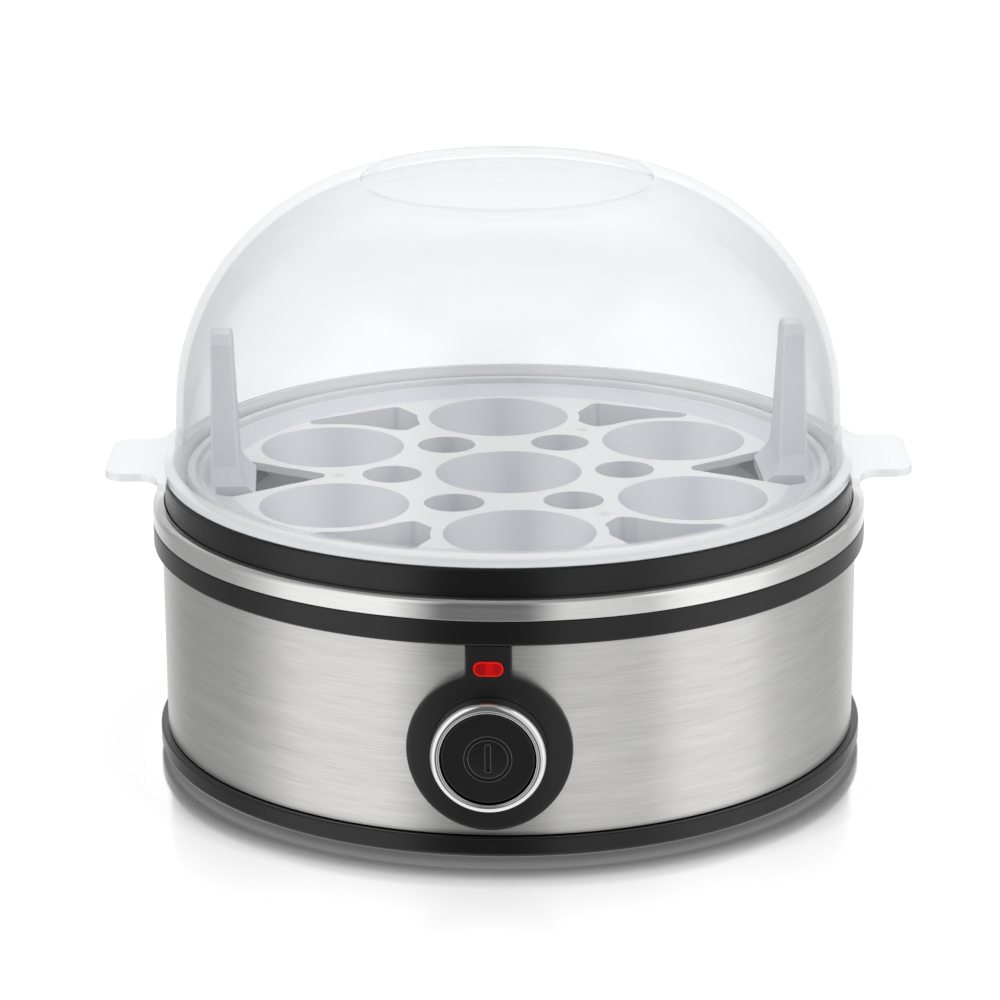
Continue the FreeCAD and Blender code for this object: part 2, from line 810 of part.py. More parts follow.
def terminal_block():
    """The three-way block on the floor of the cover."""
    blank = block("block_blank", 30.0, 18.0, 12.0, (-15.0, -9.0, 0))
    ways = []
    for i, x in enumerate((-10.0, 0.0, 10.0)):
        ways.append(cylinder("block_way_%d" % i, 1.7, 30.0, (x, 15.0, 5.5),
                             Rotation(Vector(1, 0, 0), 90)))
        ways.append(cylinder("block_well_%d" % i, 2.0, 8.0, (x, 0, 7.0)))
    return place(cut("terminal_block", blank, fuse("block_ways", ways)), 0, BLOCK_Y,
                 cover_floor)


keep(terminal_block())
keep(group("terminal_screws", [
    screw("terminal_screw_%d" % i, 1.8, 1.5, 1.2, 2.2, (x, BLOCK_Y, cover_floor + 11.2),
          Rotation(Vector(1, 0, 0), 180))
    for i, x in enumerate((-10.0, 0.0, 10.0))]))

BACKWARD = Rotation(Vector(1, 0, 0), -90)    # a body's own +Z turned to face +Y


def cord_gland():
    """The rubber bush in the back wall where a mains lead would enter."""
    body = new_body("cord_gland")
    inside = shell_inner - 2.2
    revolve(body, [
        (3.6, inside), (8.0, inside), (8.0, inside + 1.6),
        (GLAND_NECK, inside + 2.0), (GLAND_NECK, dim("wrap_radius") + 0.05),
        (8.2, dim("wrap_radius") + 0.05), (7.4, dim("wrap_radius") + 1.6),
        (3.6, dim("wrap_radius") + 1.6)])
    return place(body, 0, 0, GLAND_Z, rotation=BACKWARD)


keep(cord_gland())


# ---------------------------------------------------------------- control panel
BEZEL_COLLAR = 13.0             # radius of the bezel's collar in the panel
BEZEL_SHELF = 1.2               # depth of the bezel's seat in the panel's face


def control_panel():
    """The keyhole-shaped black plate: a disc with a neck up to the middle band."""
    skin = cylinder("panel_skin_outer", dim("panel_face"), band_bottom - 5.0, (0, 0, 5.0))
    core = cylinder("panel_skin_inner", dim("wrap_radius") + 0.05, 80.0)
    disc = cylinder("panel_disc", dim("panel_circle"), 100.0, (0, 0, panel_z), OUTWARD)
    neck = block("panel_neck", dim("neck_width"), 100.0, band_bottom - panel_z - 0.1,
                 (dim("neck_width") / -2, -100.0, panel_z))
    # A concave fillet, tangent to the neck and the disc, fills each corner between them.
    fillet = dim("neck_fillet")
    aside = dim("neck_width") / 2 + fillet
    reach = number(dim("panel_circle") + fillet)
    rise = math.sqrt(reach ** 2 - number(aside) ** 2)
    touch = number(aside) * number(dim("panel_circle")) / reach
    web = block("panel_web", 2 * touch, 100.0, rise, (-touch, -100.0, panel_z))
    hollows = [cylinder("panel_hollow_%d" % i, fillet, 140.0,
                        (aside * side, 20.0, panel_z + rise), OUTWARD)
               for i, side in enumerate((-1, 1))]
    flared = cut("panel_flared", web, fuse("panel_hollows", hollows))
    shape = common("panel_shape", [fuse("panel_outline", [disc, neck, flared]),
                                   cut("panel_skin", skin, core)])
    collar = cylinder("panel_collar", WINDOW_RADIUS - 0.4, 10.0, (0, -77.4, panel_z), OUTWARD)
    front_half = common("panel_collar_trim", [
        collar, cylinder("panel_collar_limit", dim("panel_face") - 0.6, 80.0)])
    bore = cylinder("panel_bore", BEZEL_COLLAR + 0.05, 60.0, (0, -50.0, panel_z), OUTWARD)
    rest = cylinder("panel_rest", dim("bezel_radius") + 0.1, 20.0,
                    (0, BEZEL_SHELF - dim("panel_face"), panel_z), OUTWARD)
    lens = stadium("panel_lens_hole", 0.15, 60.0, -50.0)
    return cut("control_panel", fuse("panel_solid", [shape, front_half]),
               fuse("panel_holes", [bore, rest, lens]))


def stadium(name, margin, depth, y):
    """A flat-sided oval prism for the pilot light, facing -Y."""
    tall = dim("lens_tall") + 2 * margin
    half = (dim("lens_width") - dim("lens_tall")) / 2
    ends = [cylinder("%s_end_%d" % (name, i), tall / 2, depth,
                     (half * side, y, dim("lens_height")), OUTWARD)
            for i, side in enumerate((-1, 1))]
    middle = block(name + "_middle", half * 2, depth, tall,
                   (-half, y - depth, dim("lens_height") - tall / 2))
    return fuse(name, ends + [middle])


keep(control_panel())


def indicator_lens():
    """The red pilot lens, a little proud of the panel."""
    front = dim("panel_face") + 0.35
    prism = stadium("lens_prism", 0.0, front - 82.0, -82.0)
    rounding = cylinder("lens_face", front - 0.05, 80.0)
    return common("indicator_lens", [prism, rounding])


keep(indicator_lens())


def indicator_lamp():
    """The neon lamp behind the lens."""
    glass = cylinder("lamp_glass", 1.6, 8.0, (0, -73.5, dim("lens_height")), OUTWARD)
    nose = primitive("Sphere", "lamp_nose", (0, -81.4, dim("lens_height")), Radius=0.5)
    base = cylinder("lamp_base", 1.9, 2.0, (0, -71.6, dim("lens_height")), OUTWARD)
    return fuse("indicator_lamp", [glass, nose, base])


keep(indicator_lamp())


def button_bezel():
    """The chromed ring around the button."""
    body = new_body("button_bezel")
    face = dim("panel_face")
    outer = dim("bezel_radius")
    lip = dim("bezel_lip")
    bore = dim("bezel_bore")
    front = dim("bezel_front")
    shelf = face - BEZEL_SHELF + 0.05
    revolve(body, [
        (bore, 80.0), (BEZEL_COLLAR, 80.0), (BEZEL_COLLAR, shelf), (outer, shelf),
        (outer, face + 0.6), (lip, front), (lip - 1.2, front), (bore + 0.15, front - 0.55),
        (bore, front - 0.55)],
        arcs={4: (12.0, False)})
    soften(body, [(lip, front)], 0.5, "lip_round")
    return place(body, 0, 0, panel_z, rotation=OUTWARD)


keep(button_bezel())

SYMBOL_DEPTH = 0.3


def button_cap():
    """The round push cap with an engraved standby mark."""
    body = new_body("button_cap")
    radius = dim("cap_radius")
    front = dim("cap_front")
    back = front - 7.0
    revolve(body, [
        (0, front - 2.0), (radius - 1.5, front - 2.0), (radius - 1.5, back),
        (radius, back), (radius, front), (0, front)])
    soften(body, [(radius, front)], 0.45, "edge_round")
    ring = circles(body, "mark_ring", "XY_Plane", [(0, 0, 5.5), (0, 0, 4.6)], front)
    pocket(body, ring, SYMBOL_DEPTH, "engraved_ring")
    bar = outline(body, "mark_bar", "XY_Plane",
                  [(-0.65, -3.2), (0.65, -3.2), (0.65, 3.5), (-0.65, 3.5)], None, front)
    pocket(body, bar, SYMBOL_DEPTH, "engraved_bar")
    return place(body, 0, 0, panel_z, rotation=OUTWARD)


keep(button_cap())
SWITCH_FACE = 74.0              # front of the switch, measured out from the axis


def switch_plunger():
    """The switch's square stem, with the cap pushed on its end."""
    stem = block("plunger_stem", 4.0, 4.0, dim("cap_front") - 2.1 - (SWITCH_FACE - 6.0),
                 (-2.0, -2.0, SWITCH_FACE - 6.0))
    collar = cylinder("plunger_collar", 4.2, 1.5, (0, 0, dim("cap_front") - 3.7))
    return place(fuse("switch_plunger", [stem, collar]), 0, 0, panel_z, rotation=OUTWARD)


keep(switch_plunger())


def button_spring():
    """The return spring around the stem, as a fine coil."""
    height = number(dim("cap_front")) - 4.1 - SWITCH_FACE - 0.7
    radius = 3.6
    wire_radius = 0.4
    coil_pitch = height / 5.0
    slope = math.atan2(coil_pitch, 2 * math.pi * radius)
    along = Vector(0, math.cos(slope), math.sin(slope))
    coil = Part.Wire(Part.makeHelix(coil_pitch, height, radius).Edges)
    section = Part.Wire([Part.Circle(Vector(radius, 0, 0), along, wire_radius).toShape()])
    feature = doc.addObject("Part::Feature", "button_spring")
    feature.Shape = coil.makePipeShell([section], True, True)
    print("spring: volume %.3f of expected"
          % (feature.Shape.Volume / (math.pi * wire_radius ** 2 * coil.Length)))
    return place(feature, 0, Size.of(-SWITCH_FACE - 0.5), panel_z, rotation=OUTWARD)


keep(button_spring())


def switch_body():
    """The latching push switch, open in front for its stem."""
    case = block("switch_case", 17.0, 17.0, 20.0, (-8.5, -8.5, SWITCH_FACE - 20.0))
    well = block("switch_well", 4.6, 4.6, 14.0, (-2.3, -2.3, SWITCH_FACE - 12.0))
    flange = block("switch_flange", 30.0, 10.0, 1.5, (-15.0, -5.0, SWITCH_FACE - 1.5))
    holes = [cylinder("switch_hole_%d" % i, 1.6, 6.0, (x, 0, SWITCH_FACE - 4.0))
             for i, x in enumerate((-12.0, 12.0))]
    whole = cut("switch_body", fuse("switch_solid", [case, flange]),
                fuse("switch_voids", [well] + holes))
    return place(whole, 0, 0, panel_z, rotation=OUTWARD)


keep(switch_body())


def switch_blade(index, x, y):
    blade = block("switch_blade_%d" % index, 0.8, 4.8, 8.0, (x - 0.4, y - 2.4, 0))
    return place(blade, x - 0.4, -(SWITCH_FACE - 28.1), panel_z + y - 2.4, rotation=OUTWARD)


keep(group("switch_terminals", [
    switch_blade(i, x, y) for i, (x, y) in enumerate(((-4, -4), (4, -4), (-4, 4), (4, 4)))]))


def switch_bracket():
    """The moulded bridge between the panel's collar and the switch flange."""
    body = new_body("switch_bracket")
    ring_front = 77.2
    revolve(body, [(9.4, ring_front - 3.0), (14.9, ring_front - 3.0),
                   (14.9, ring_front), (9.4, ring_front)])
    pad(body, circles(body, "post_outline", "XY_Plane",
                      [(-12.0, 0, 2.4), (12.0, 0, 2.4)], SWITCH_FACE + 0.05), 0.8, "posts")
    pocket(body, circles(body, "pilot_outline", "XY_Plane",
                         [(-12.0, 0, 1.1), (12.0, 0, 1.1)], SWITCH_FACE - 1.0), 3.6,
           "pilot_holes", up=True)
    return place(body, 0, 0, panel_z, rotation=OUTWARD)


keep(switch_bracket())
keep(group("switch_screws", [
    screw("switch_screw_%d" % i, 2.4, 1.4, 1.1, 3.6, (x, -(SWITCH_FACE - 2.95), panel_z),
          OUTWARD)
    for i, x in enumerate((-12.0, 12.0))]))

# ---------------------------------------------------------------- internal leads
switch_z = number(panel_z)
blade_tip = -(SWITCH_FACE - 28.3)
pin_z = number(element_z) - 16.2
entry_z = number(cover_floor) + 5.5
block_front = BLOCK_Y - 9.2
pin_left = (number(dim("element_circle")) * math.cos(math.radians(ELEMENT_START)),
            number(dim("element_circle")) * math.sin(math.radians(ELEMENT_START)))
pin_right = (-pin_left[0], pin_left[1])

# live: block to switch, along the left of the housing
keep(lead("lead_live", [[
    (-10.0, block_front, entry_z), (-13.0, 34.0, entry_z + 1.0), (-28.0, 16.0, 12.0),
    (-34.0, -6.0, 14.0), (-24.0, -22.0, 18.0), (-8.0, -31.0, switch_z - 4.5),
    (-4.4, blade_tip, switch_z - 4.0)]], 2.2))
# switched: switch to thermostat
keep(lead("lead_switched", [[
    (4.4, blade_tip, switch_z + 4.0), (8.0, -34.0, switch_z + 3.0),
    (16.0, -20.0, 28.0), (16.0, -6.0, 29.0), (8.5, -0.5, 29.6),
    (4.9, 0.0, number(THERMOSTAT_TOP) - 17.0)]], 2.2))
# fused: thermostat through the fuse to the element
keep(lead("lead_fused", [
    [(-4.9, 0.0, number(THERMOSTAT_TOP) - 17.0), (-9.0, 4.0, 28.5), (-21.0, 12.0, 31.0),
     (-26.0, 20.0, 38.0), (-21.0, number(Size.of(FUSE_Y)), number(FUSE_Z)),
     (-15.3, FUSE_Y, number(FUSE_Z))],
    [(15.3, FUSE_Y, number(FUSE_Z)), (20.0, FUSE_Y, number(FUSE_Z)),
     (27.0, 27.0, 36.0), (27.0, 32.0, 28.0), (pin_right[0] + 2.0, pin_right[1] - 1.0, 25.0),
     (pin_right[0], pin_right[1], pin_z)]], 2.2))
# neutral: block to element
keep(lead("lead_neutral", [[
    (10.0, block_front, entry_z), (6.0, 33.0, entry_z + 1.0), (-6.0, 26.0, 14.0),
    (-17.0, 30.0, 19.0), (pin_left[0], pin_left[1], pin_z - 6.0),
    (pin_left[0], pin_left[1], pin_z)]], 2.2))
# earth: block to the steel stud of the plate
stud_spot = (0.0, number(dim("stud_circle")))
keep(lead("lead_earth", [[
    (0.0, BLOCK_Y + 9.2, entry_z), (0.0, 68.0, entry_z + 1.5), (6.0, 74.0, 20.0),
    (8.0, 74.5, 34.0), (5.0, 74.0, 43.0), (0.0, stud_spot[1], 46.5),
    (0.0, stud_spot[1], number(seat_bottom) - 5.2)]], 2.2))
# pilot light: two fine leads to the switch
lens_z = number(dim("lens_height"))
keep(lead("lead_pilot", [
    [(-1.0, -71.3, lens_z), (-1.6, -66.0, lens_z), (-2.6, -58.0, 44.0),
     (-3.6, -50.0, 38.0), (-4.0, blade_tip - 1.0, switch_z + 8.0),
     (-4.4, blade_tip + 0.4, switch_z + 4.0)],
    [(1.0, -71.3, lens_z), (2.6, -65.0, lens_z), (9.0, -56.0, 44.0),
     (12.0, -48.0, 36.0), (10.0, -42.0, 28.0), (4.4, blade_tip + 0.6, switch_z - 4.0)]],
    1.2))

# ---------------------------------------------------------------- egg tray
deck_top = dim("deck_height")
egg_circle = dim("egg_circle")
egg_spots = [(0, 0)] + [polar(egg_circle, 30 + 60 * k, 0)[:2] for k in range(6)]


def cup_cone(name, spread, low, high, spot):
    """A cup's cone between two heights over the deck's top face, wider by spread."""
    slope = (dim("egg_radius") - dim("cup_floor_radius")) / dim("cup_depth")
    return primitive("Cone", name, (spot[0], spot[1], deck_top + low),
                     Radius1=dim("egg_radius") + spread + slope * low,
                     Radius2=dim("egg_radius") + spread + slope * high,
                     Height=high - low)


def egg_cups():
    """The seven cups' walls below the deck, which are moulded in one with it."""
    low = -dim("cup_depth")
    high = -dim("deck_gauge")
    cups = []
    for i, spot in enumerate(egg_spots):
        wall = cup_cone("cup_wall_%d" % i, dim("cup_wall"), low, high, spot)
        hollow = cup_cone("cup_hollow_%d" % i, Size.of(0.0), low - 0.4, high + 0.4, spot)
        cups.append(cut("cup_%d" % i, wall, hollow))
    return place(group("egg_cups", cups), rotation=Rotation(SPIN, number(dim("tray_turn"))))


def tray_blank():
    """Deck, sloping surround, ledge and rim, as one turned section."""
    body = new_body("tray_blank")
    gauge = dim("deck_gauge")
    skin = 1.5
    revolve(body, [
        (0, deck_top), (dim("deck_radius"), deck_top),
        (dim("ledge_radius"), dim("ledge_height")),
        (dim("tray_rim_inner"), dim("ledge_height")),
        (dim("tray_rim_inner"), dim("tray_rim_height")),
        (dim("tray_rim_radius"), dim("tray_rim_height")),
        (dim("tray_rim_radius"), dim("tray_rim_height") - skin),
        (dim("tray_rim_inner") + 0.3, dim("tray_rim_height") - skin),
        (dim("tray_rim_inner") + 0.3, deck_top - 3.5),
        (dim("ledge_radius"), deck_top - 3.5),
        (dim("ledge_radius"), deck_top - gauge), (0, deck_top - gauge)])
    rim = dim("tray_rim_height")
    soften(body, [(dim("tray_rim_radius"), rim), (dim("tray_rim_inner"), rim)], 0.5,
           "rim_rounds")
    return body


def slot_prism(name, corners, corner_round, far_egg, side):
    """A steam slot: a rounded wedge kept clear of the egg hole beside it."""
    body = new_body(name + "_blank")
    outline_points = [(u * side, v) for u, v in corners]
    if side < 0:
        outline_points.reverse()
    pad(body, outline(body, "wedge", "XY_Plane", outline_points, None, deck_top - 8.0),
        16.0, "wedge_pad")
    doc.recompute()
    upright = [
        "Edge%d" % i for i, e in enumerate(body.Shape.Edges, start=1)
        if abs(e.Vertexes[0].Z - e.Vertexes[-1].Z) > 1.0]
    blank = body.Tip
    rounding = body.newObject("PartDesign::Fillet", "wedge_rounds")
    rounding.Base = (blank, upright)
    rounding.Radius = corner_round
    guards = [cylinder("%s_guard_%d" % (name, i), dim("egg_radius") + dim("slot_margin"),
                       30.0, (x, y, deck_top - 15.0)) for i, (x, y) in enumerate(far_egg)]
    return cut(name, body, fuse(name + "_guards", guards))


def egg_tray():
    """The slotted deck with its seven egg holes, rim and two upright handles."""
    mouths = [cup_cone("cup_mouth_%d" % i, Size.of(0.0), -dim("deck_gauge") - 0.4, Size.of(0.4), spot)
              for i, spot in enumerate(egg_spots)]
    steam = [cylinder("steam_hole_%d" % k, dim("steam_radius"), 20.0,
                      polar(dim("steam_circle"), 60 * k, deck_top - 10.0)) for k in range(6)]
    # In a slot's own frame v runs outward and u sideways, away from the front or
    # back cup; its neighbours' centres lie 30 degrees to each side.
    beside = (egg_circle * 0.5, egg_circle * math.cos(math.radians(30)))
    slots = []
    wedge = [(-8.6, 66.6), (-8.2, 50.8), (1.5, 45.6), (21.5, 68.0)]
    for k, degrees in enumerate((60, 120, 240, 300)):
        side = -1 if degrees in (60, 240) else 1
        guards = [(beside[0] * -side, beside[1]), (beside[0] * side, beside[1])]
        slot = slot_prism("steam_slot_%d" % k, wedge, 2.2, guards, -side)
        slots.append(place(slot, rotation=Rotation(SPIN, degrees - 90)))
    grip_wedge = [(-19.0, 72.0), (-1.5, 45.6), (1.5, 45.6), (19.0, 72.0)]
    for k, degrees in enumerate((0, 180)):
        guards = [(-beside[0], beside[1]), (beside[0], beside[1])]
        slot = slot_prism("handle_slot_%d" % k, grip_wedge, 1.0, guards, 1)
        slots.append(place(slot, rotation=Rotation(SPIN, degrees - 90)))
    pierced = cut("tray_pierced", tray_blank(), fuse("tray_voids", mouths + steam + slots))
    handles = [place(tray_handle(i), rotation=Rotation(SPIN, a))
               for i, a in enumerate((0, 180))]
    return place(fuse("egg_tray", [pierced] + handles),
                 rotation=Rotation(SPIN, number(dim("tray_turn"))))


def tray_handle(index):
    """An upright blade, thicker towards its foot, which flares into the tray's deck and wall."""
    body = new_body("handle_%d" % index)
    top = dim("handle_top")
    half = dim("handle_width") / 2
    waist = dim("handle_foot") / 2
    foot_z = deck_top - 3.4
    shoulder = top - 2.2
    # The blade's face, seen along the radius: y across, z up.
    points = [
        (-waist, foot_z), (waist, foot_z), (waist, foot_z + 4.6), (waist - 2.6, foot_z + 9.0),
        (half, shoulder), (half - 2.0, top), (-half + 2.0, top), (-half, shoulder),
        (-waist + 2.6, foot_z + 9.0), (-waist, foot_z + 4.6)]
    inner = dim("handle_circle") - dim("handle_gauge") / 2
    outer = dim("handle_circle") + dim("handle_gauge") / 2
    toe = dim("handle_toe")
    heel = dim("ledge_radius") + 0.8
    pad(body, outline(body, "blade", "YZ_Plane", points, None, toe), heel - toe, "blade_pad")
    # Seen from the side, the inner face runs down and then sweeps in to the toe; the outer face leans out.
    inside = outline(body, "inner_slope", "XZ_Plane", [
        (toe - 1.0, deck_top - 0.6), (toe, deck_top - 0.6), (inner - 1.2, deck_top + 4.4),
        (inner, top + 1.0), (toe - 1.0, top + 1.0)],
        {1: (dim("toe_sweep"), False)}, dim("handle_foot"))
    outside = outline(body, "outer_slope", "XZ_Plane", [
        (heel + 1.0, foot_z + 3.4), (heel + 1.0, top + 1.0), (outer, top + 1.0),
        (outer + 0.7, foot_z + 3.4)],
        None, dim("handle_foot"))
    pocket(body, inside, dim("handle_foot") * 2, "inner_relief")
    pocket(body, outside, dim("handle_foot") * 2, "outer_relief")
    doc.recompute()
    edges = []
    for i, edge in enumerate(body.Shape.Edges, start=1):
        ends = edge.Vertexes
        high = min(v.Z for v in ends) > number(deck_top) + 5.0
        if high and abs(ends[0].X - ends[-1].X) < 0.3 * edge.Length:
            edges.append("Edge%d" % i)
    blank = body.Tip
    rounding = body.newObject("PartDesign::Fillet", "blade_rounds")
    rounding.Base = (blank, edges)
    rounding.Radius = 0.9
    return body


keep(egg_tray())
keep(egg_cups())


# ---------------------------------------------------------------- lid
def lid():
    """The domed lid: rim, near-upright wall, dome, recessed top and two ears."""
    body = new_body("lid_shell")
    wall = dim("lid_wall")
    under = dim("lid_height")
    rim_upper = under + dim("lid_rim_height")
    crest = dim("lid_crest_height")
    disc = crest - dim("lid_recess")
    lip_outer = dim("rebate_radius") - 0.35
    lip_bottom = under - 0.9
    shoulder = dim("lid_shoulder_height")
    crest_radius = dim("lid_crest_radius")
    dome_radius = 57.5
    revolve(body, [
        (lip_outer - 1.1, lip_bottom), (lip_outer, lip_bottom), (lip_outer, under),
        (dim("lid_radius"), under), (dim("lid_radius"), rim_upper - 0.3),
        (dim("lid_neck_radius"), rim_upper + 0.3), (dim("lid_shoulder_radius"), shoulder),
        (crest_radius, crest), (crest_radius - 0.7, crest),
        (dim("lid_disc_radius"), disc), (0, disc), (0, disc - wall),
        (crest_radius - 0.5, disc - wall), (dim("lid_shoulder_radius") - wall, shoulder),
        (dim("lid_neck_radius") - wall, rim_upper)],
        arcs={6: (dome_radius, False), 12: (dome_radius - 1.8, True)})
    soften(body, [(dim("lid_radius"), under), (dim("lid_radius"), rim_upper - 0.3)], 0.6,
           "rim_rounds")
    ears = []
    for i, degrees in enumerate((0, 180)):
        slab = block("ear_slab_%d" % i, dim("ear_reach") - 76.0, dim("ear_width"),
                     dim("ear_gauge"), (82.6, -(dim("ear_width") / 2), under + 0.15))
        limit = cylinder("ear_limit_%d" % i, dim("ear_reach"), 10.0, (0, 0, under - 3.0))
        blade = common("ear_blade_%d" % i, [slab, limit])
        ears.append(place(blade, rotation=Rotation(SPIN, degrees)))
    joined = fuse("lid_joined", [body] + ears)
    doc.recompute()
    # Upright edges of the ears: the outer corners, and the roots against the rim.
    rounds = []
    for i, edge in enumerate(joined.Shape.Edges, start=1):
        ends = edge.Vertexes
        if len(ends) != 2 or not isinstance(edge.Curve, Part.Line):
            continue
        if abs(ends[0].Z - ends[1].Z) < 1.5:
            continue
        reach = math.hypot(ends[0].X, ends[0].Y)
        if reach > number(dim("ear_reach")) - 0.5:
            rounds.append((i, 5.0, 5.0))
        elif reach > number(dim("lid_radius")) - 0.5:
            rounds.append((i, 6.5, 6.5))
    shaped = doc.addObject("Part::Fillet", "lid")
    shaped.Base = joined
    shaped.Edges = rounds
    return place(shaped, rotation=Rotation(SPIN, number(dim("lid_turn"))))


keep(lid())

# ---------------------------------------------------------------- check and write
doc.recompute()
for obj in doc.Objects:
    bad = [state for state in obj.State if state in ("Invalid", "Error")]
    if bad:
        raise RuntimeError("%s (%s) is %s" % (obj.Name, obj.Label, bad))
for obj in parts:
    if obj.Shape.isNull() or not obj.Shape.isValid():
        raise RuntimeError("%s has no valid shape" % obj.Label)
    if not obj.Shape.Solids:
        raise RuntimeError("%s has no solid" % obj.Label)

os.makedirs("parts", exist_ok=True)
for obj in parts:
    obj.Shape.exportStep("parts/%s.step" % obj.Label)
print("%d nodes written" % len(parts))
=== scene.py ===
"""Looks of the egg cooker: finishes for every sub-part, small moulded details, floor, light and camera.

Everything is in metres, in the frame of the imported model: Z up from the table, the button towards -Y.
"""

import json
import math

import bmesh
import bpy
from mathutils import Matrix, Vector


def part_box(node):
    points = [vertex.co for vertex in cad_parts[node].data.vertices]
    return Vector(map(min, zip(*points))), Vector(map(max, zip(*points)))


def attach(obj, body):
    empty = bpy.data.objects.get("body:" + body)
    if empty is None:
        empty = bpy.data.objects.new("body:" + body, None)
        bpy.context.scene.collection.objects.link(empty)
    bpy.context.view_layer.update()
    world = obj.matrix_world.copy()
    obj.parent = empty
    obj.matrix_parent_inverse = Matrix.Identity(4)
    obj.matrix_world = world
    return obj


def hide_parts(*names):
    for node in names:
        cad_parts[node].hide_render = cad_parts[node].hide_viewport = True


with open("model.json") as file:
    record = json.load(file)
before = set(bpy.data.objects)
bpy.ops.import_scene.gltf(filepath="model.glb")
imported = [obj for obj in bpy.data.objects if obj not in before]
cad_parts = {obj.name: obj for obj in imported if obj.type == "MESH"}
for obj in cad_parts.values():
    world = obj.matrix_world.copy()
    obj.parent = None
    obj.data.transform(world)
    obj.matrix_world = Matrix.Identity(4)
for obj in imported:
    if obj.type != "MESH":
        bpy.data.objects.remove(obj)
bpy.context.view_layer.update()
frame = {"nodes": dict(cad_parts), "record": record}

MM = 0.001
TURN = 2 * math.pi

PARTS = {part["node"]: part["material_slot"] for part in frame["record"]["subparts"]}
BODIES = frame["record"]["behaviour"]["bodies"]
DECK_GAUGE = 2.0 * MM
DECK_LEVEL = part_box("egg_cups")[1][2] + DECK_GAUGE      # top face of the tray's deck


# ---------------------------------------------------------------- node helpers
class Graph:
    """A material's or world's node tree, built with short calls."""

    def __init__(self, owner):
        owner.use_nodes = True
        self.tree = owner.node_tree
        self.tree.nodes.clear()

    def node(self, kind, **settings):
        made = self.tree.nodes.new("ShaderNode" + kind)
        for name, value in settings.items():
            setattr(made, name, value)
        return made

    def put(self, socket, value):
        """Sets an input, or links it if value is another node's output."""
        if isinstance(value, bpy.types.NodeSocket):
            self.tree.links.new(value, socket)
        else:
            socket.default_value = value

    def math(self, operation, *values, clamp=False):
        made = self.node("Math", operation=operation, use_clamp=clamp)
        for socket, value in zip(made.inputs, values):
            self.put(socket, value)
        return made.outputs[0]

    def place(self):
        """Where a point is in the model's frame, in metres: as one vector, and as x, y and z."""
        coords = self.node("TexCoord")
        split = self.node("SeparateXYZ")
        self.put(split.inputs[0], coords.outputs["Object"])
        return coords.outputs["Object"], split.outputs

    def vector(self, x, y, z):
        made = self.node("CombineXYZ")
        for socket, value in zip(made.inputs, (x, y, z)):
            self.put(socket, value)
        return made.outputs[0]

    def noise(self, vector, scale, detail=3.0, roughness=0.5):
        made = self.node("TexNoise")
        self.put(made.inputs["Vector"], vector)
        self.put(made.inputs["Scale"], scale)
        self.put(made.inputs["Detail"], detail)
        self.put(made.inputs["Roughness"], roughness)
        return made.outputs["Fac"]

    def ramp(self, value, stops):
        """A colour ramp; each stop is (position, grey) or (position, (r, g, b))."""
        made = self.node("ValToRGB")
        elements = made.color_ramp.elements
        while len(elements) < len(stops):
            elements.new(0.5)
        for element, (position, colour) in zip(elements, stops):
            element.position = position
            grey = isinstance(colour, (int, float))
            element.color = (*((colour,) * 3 if grey else colour), 1.0)
        self.put(made.inputs[0], value)
        return made.outputs["Color"]

    def spread(self, value, low, high):
        """Maps 0..1 to low..high."""
        made = self.node("MapRange")
        self.put(made.inputs["Value"], value)
        self.put(made.inputs["To Min"], low)
        self.put(made.inputs["To Max"], high)
        return made.outputs[0]

    def bump(self, height, strength, distance):
        made = self.node("Bump")
        self.put(made.inputs["Height"], height)
        self.put(made.inputs["Strength"], strength)
        self.put(made.inputs["Distance"], distance)
        return made.outputs[0]

    def mix_colour(self, factor, first, second):
        made = self.node("Mix", data_type="RGBA")
        self.put(made.inputs[0], factor)
        self.put(made.inputs[6], first if isinstance(first, bpy.types.NodeSocket) else (*first, 1.0))
        self.put(made.inputs[7], second if isinstance(second, bpy.types.NodeSocket) else (*second, 1.0))
        return made.outputs[2]

    def principled(self, **values):
        made = self.node("BsdfPrincipled")
        for name, value in values.items():
            socket = made.inputs[name.replace("_", " ")]
            if socket.type == "RGBA" and isinstance(value, tuple):
                value = (*value, 1.0)
            self.put(socket, value)
        return made

    def glossy(self, colour, roughness):
        made = self.node("BsdfGlossy")
        self.put(made.inputs["Color"], (*colour, 1.0))
        self.put(made.inputs["Roughness"], roughness)
        return made

    def blend(self, factor, first, second):
        """A shader that is first where factor is 0 and second where it is 1."""
        made = self.node("MixShader")
        for socket, value in zip(made.inputs, (factor, first.outputs[0], second.outputs[0])):
            self.put(socket, value)
        return made

    def surface(self, shader):
        out = self.node("OutputMaterial")
        self.put(out.inputs["Surface"], shader.outputs[0])


materials = {}


def material(name):
    """A new, still empty material; returns its node tree."""
    materials[name] = bpy.data.materials.new(name)
    return Graph(materials[name])


# ---------------------------------------------------------------- finishes
def moulded(name, dark, light, roughness, grain=0.05, grain_size=0.0006, **more):
    """Injection-moulded plastic: faint mottling, a fine spark-eroded grain and uneven gloss."""
    g = material(name)
    coords, _ = g.place()
    cloud = g.noise(coords, 38.0, 4.0)
    grains = g.noise(coords, 1.0 / grain_size, 2.0, 0.6)
    shader = g.principled(
        Base_Color=g.mix_colour(cloud, dark, light),
        Roughness=g.spread(g.math("ADD", g.math("MULTIPLY", cloud, 0.6), g.math("MULTIPLY", grains, 0.4)),
                           roughness * 0.85, roughness * 1.15),
        Normal=g.bump(grains, grain, 0.00003),
        **more)
    g.surface(shader)


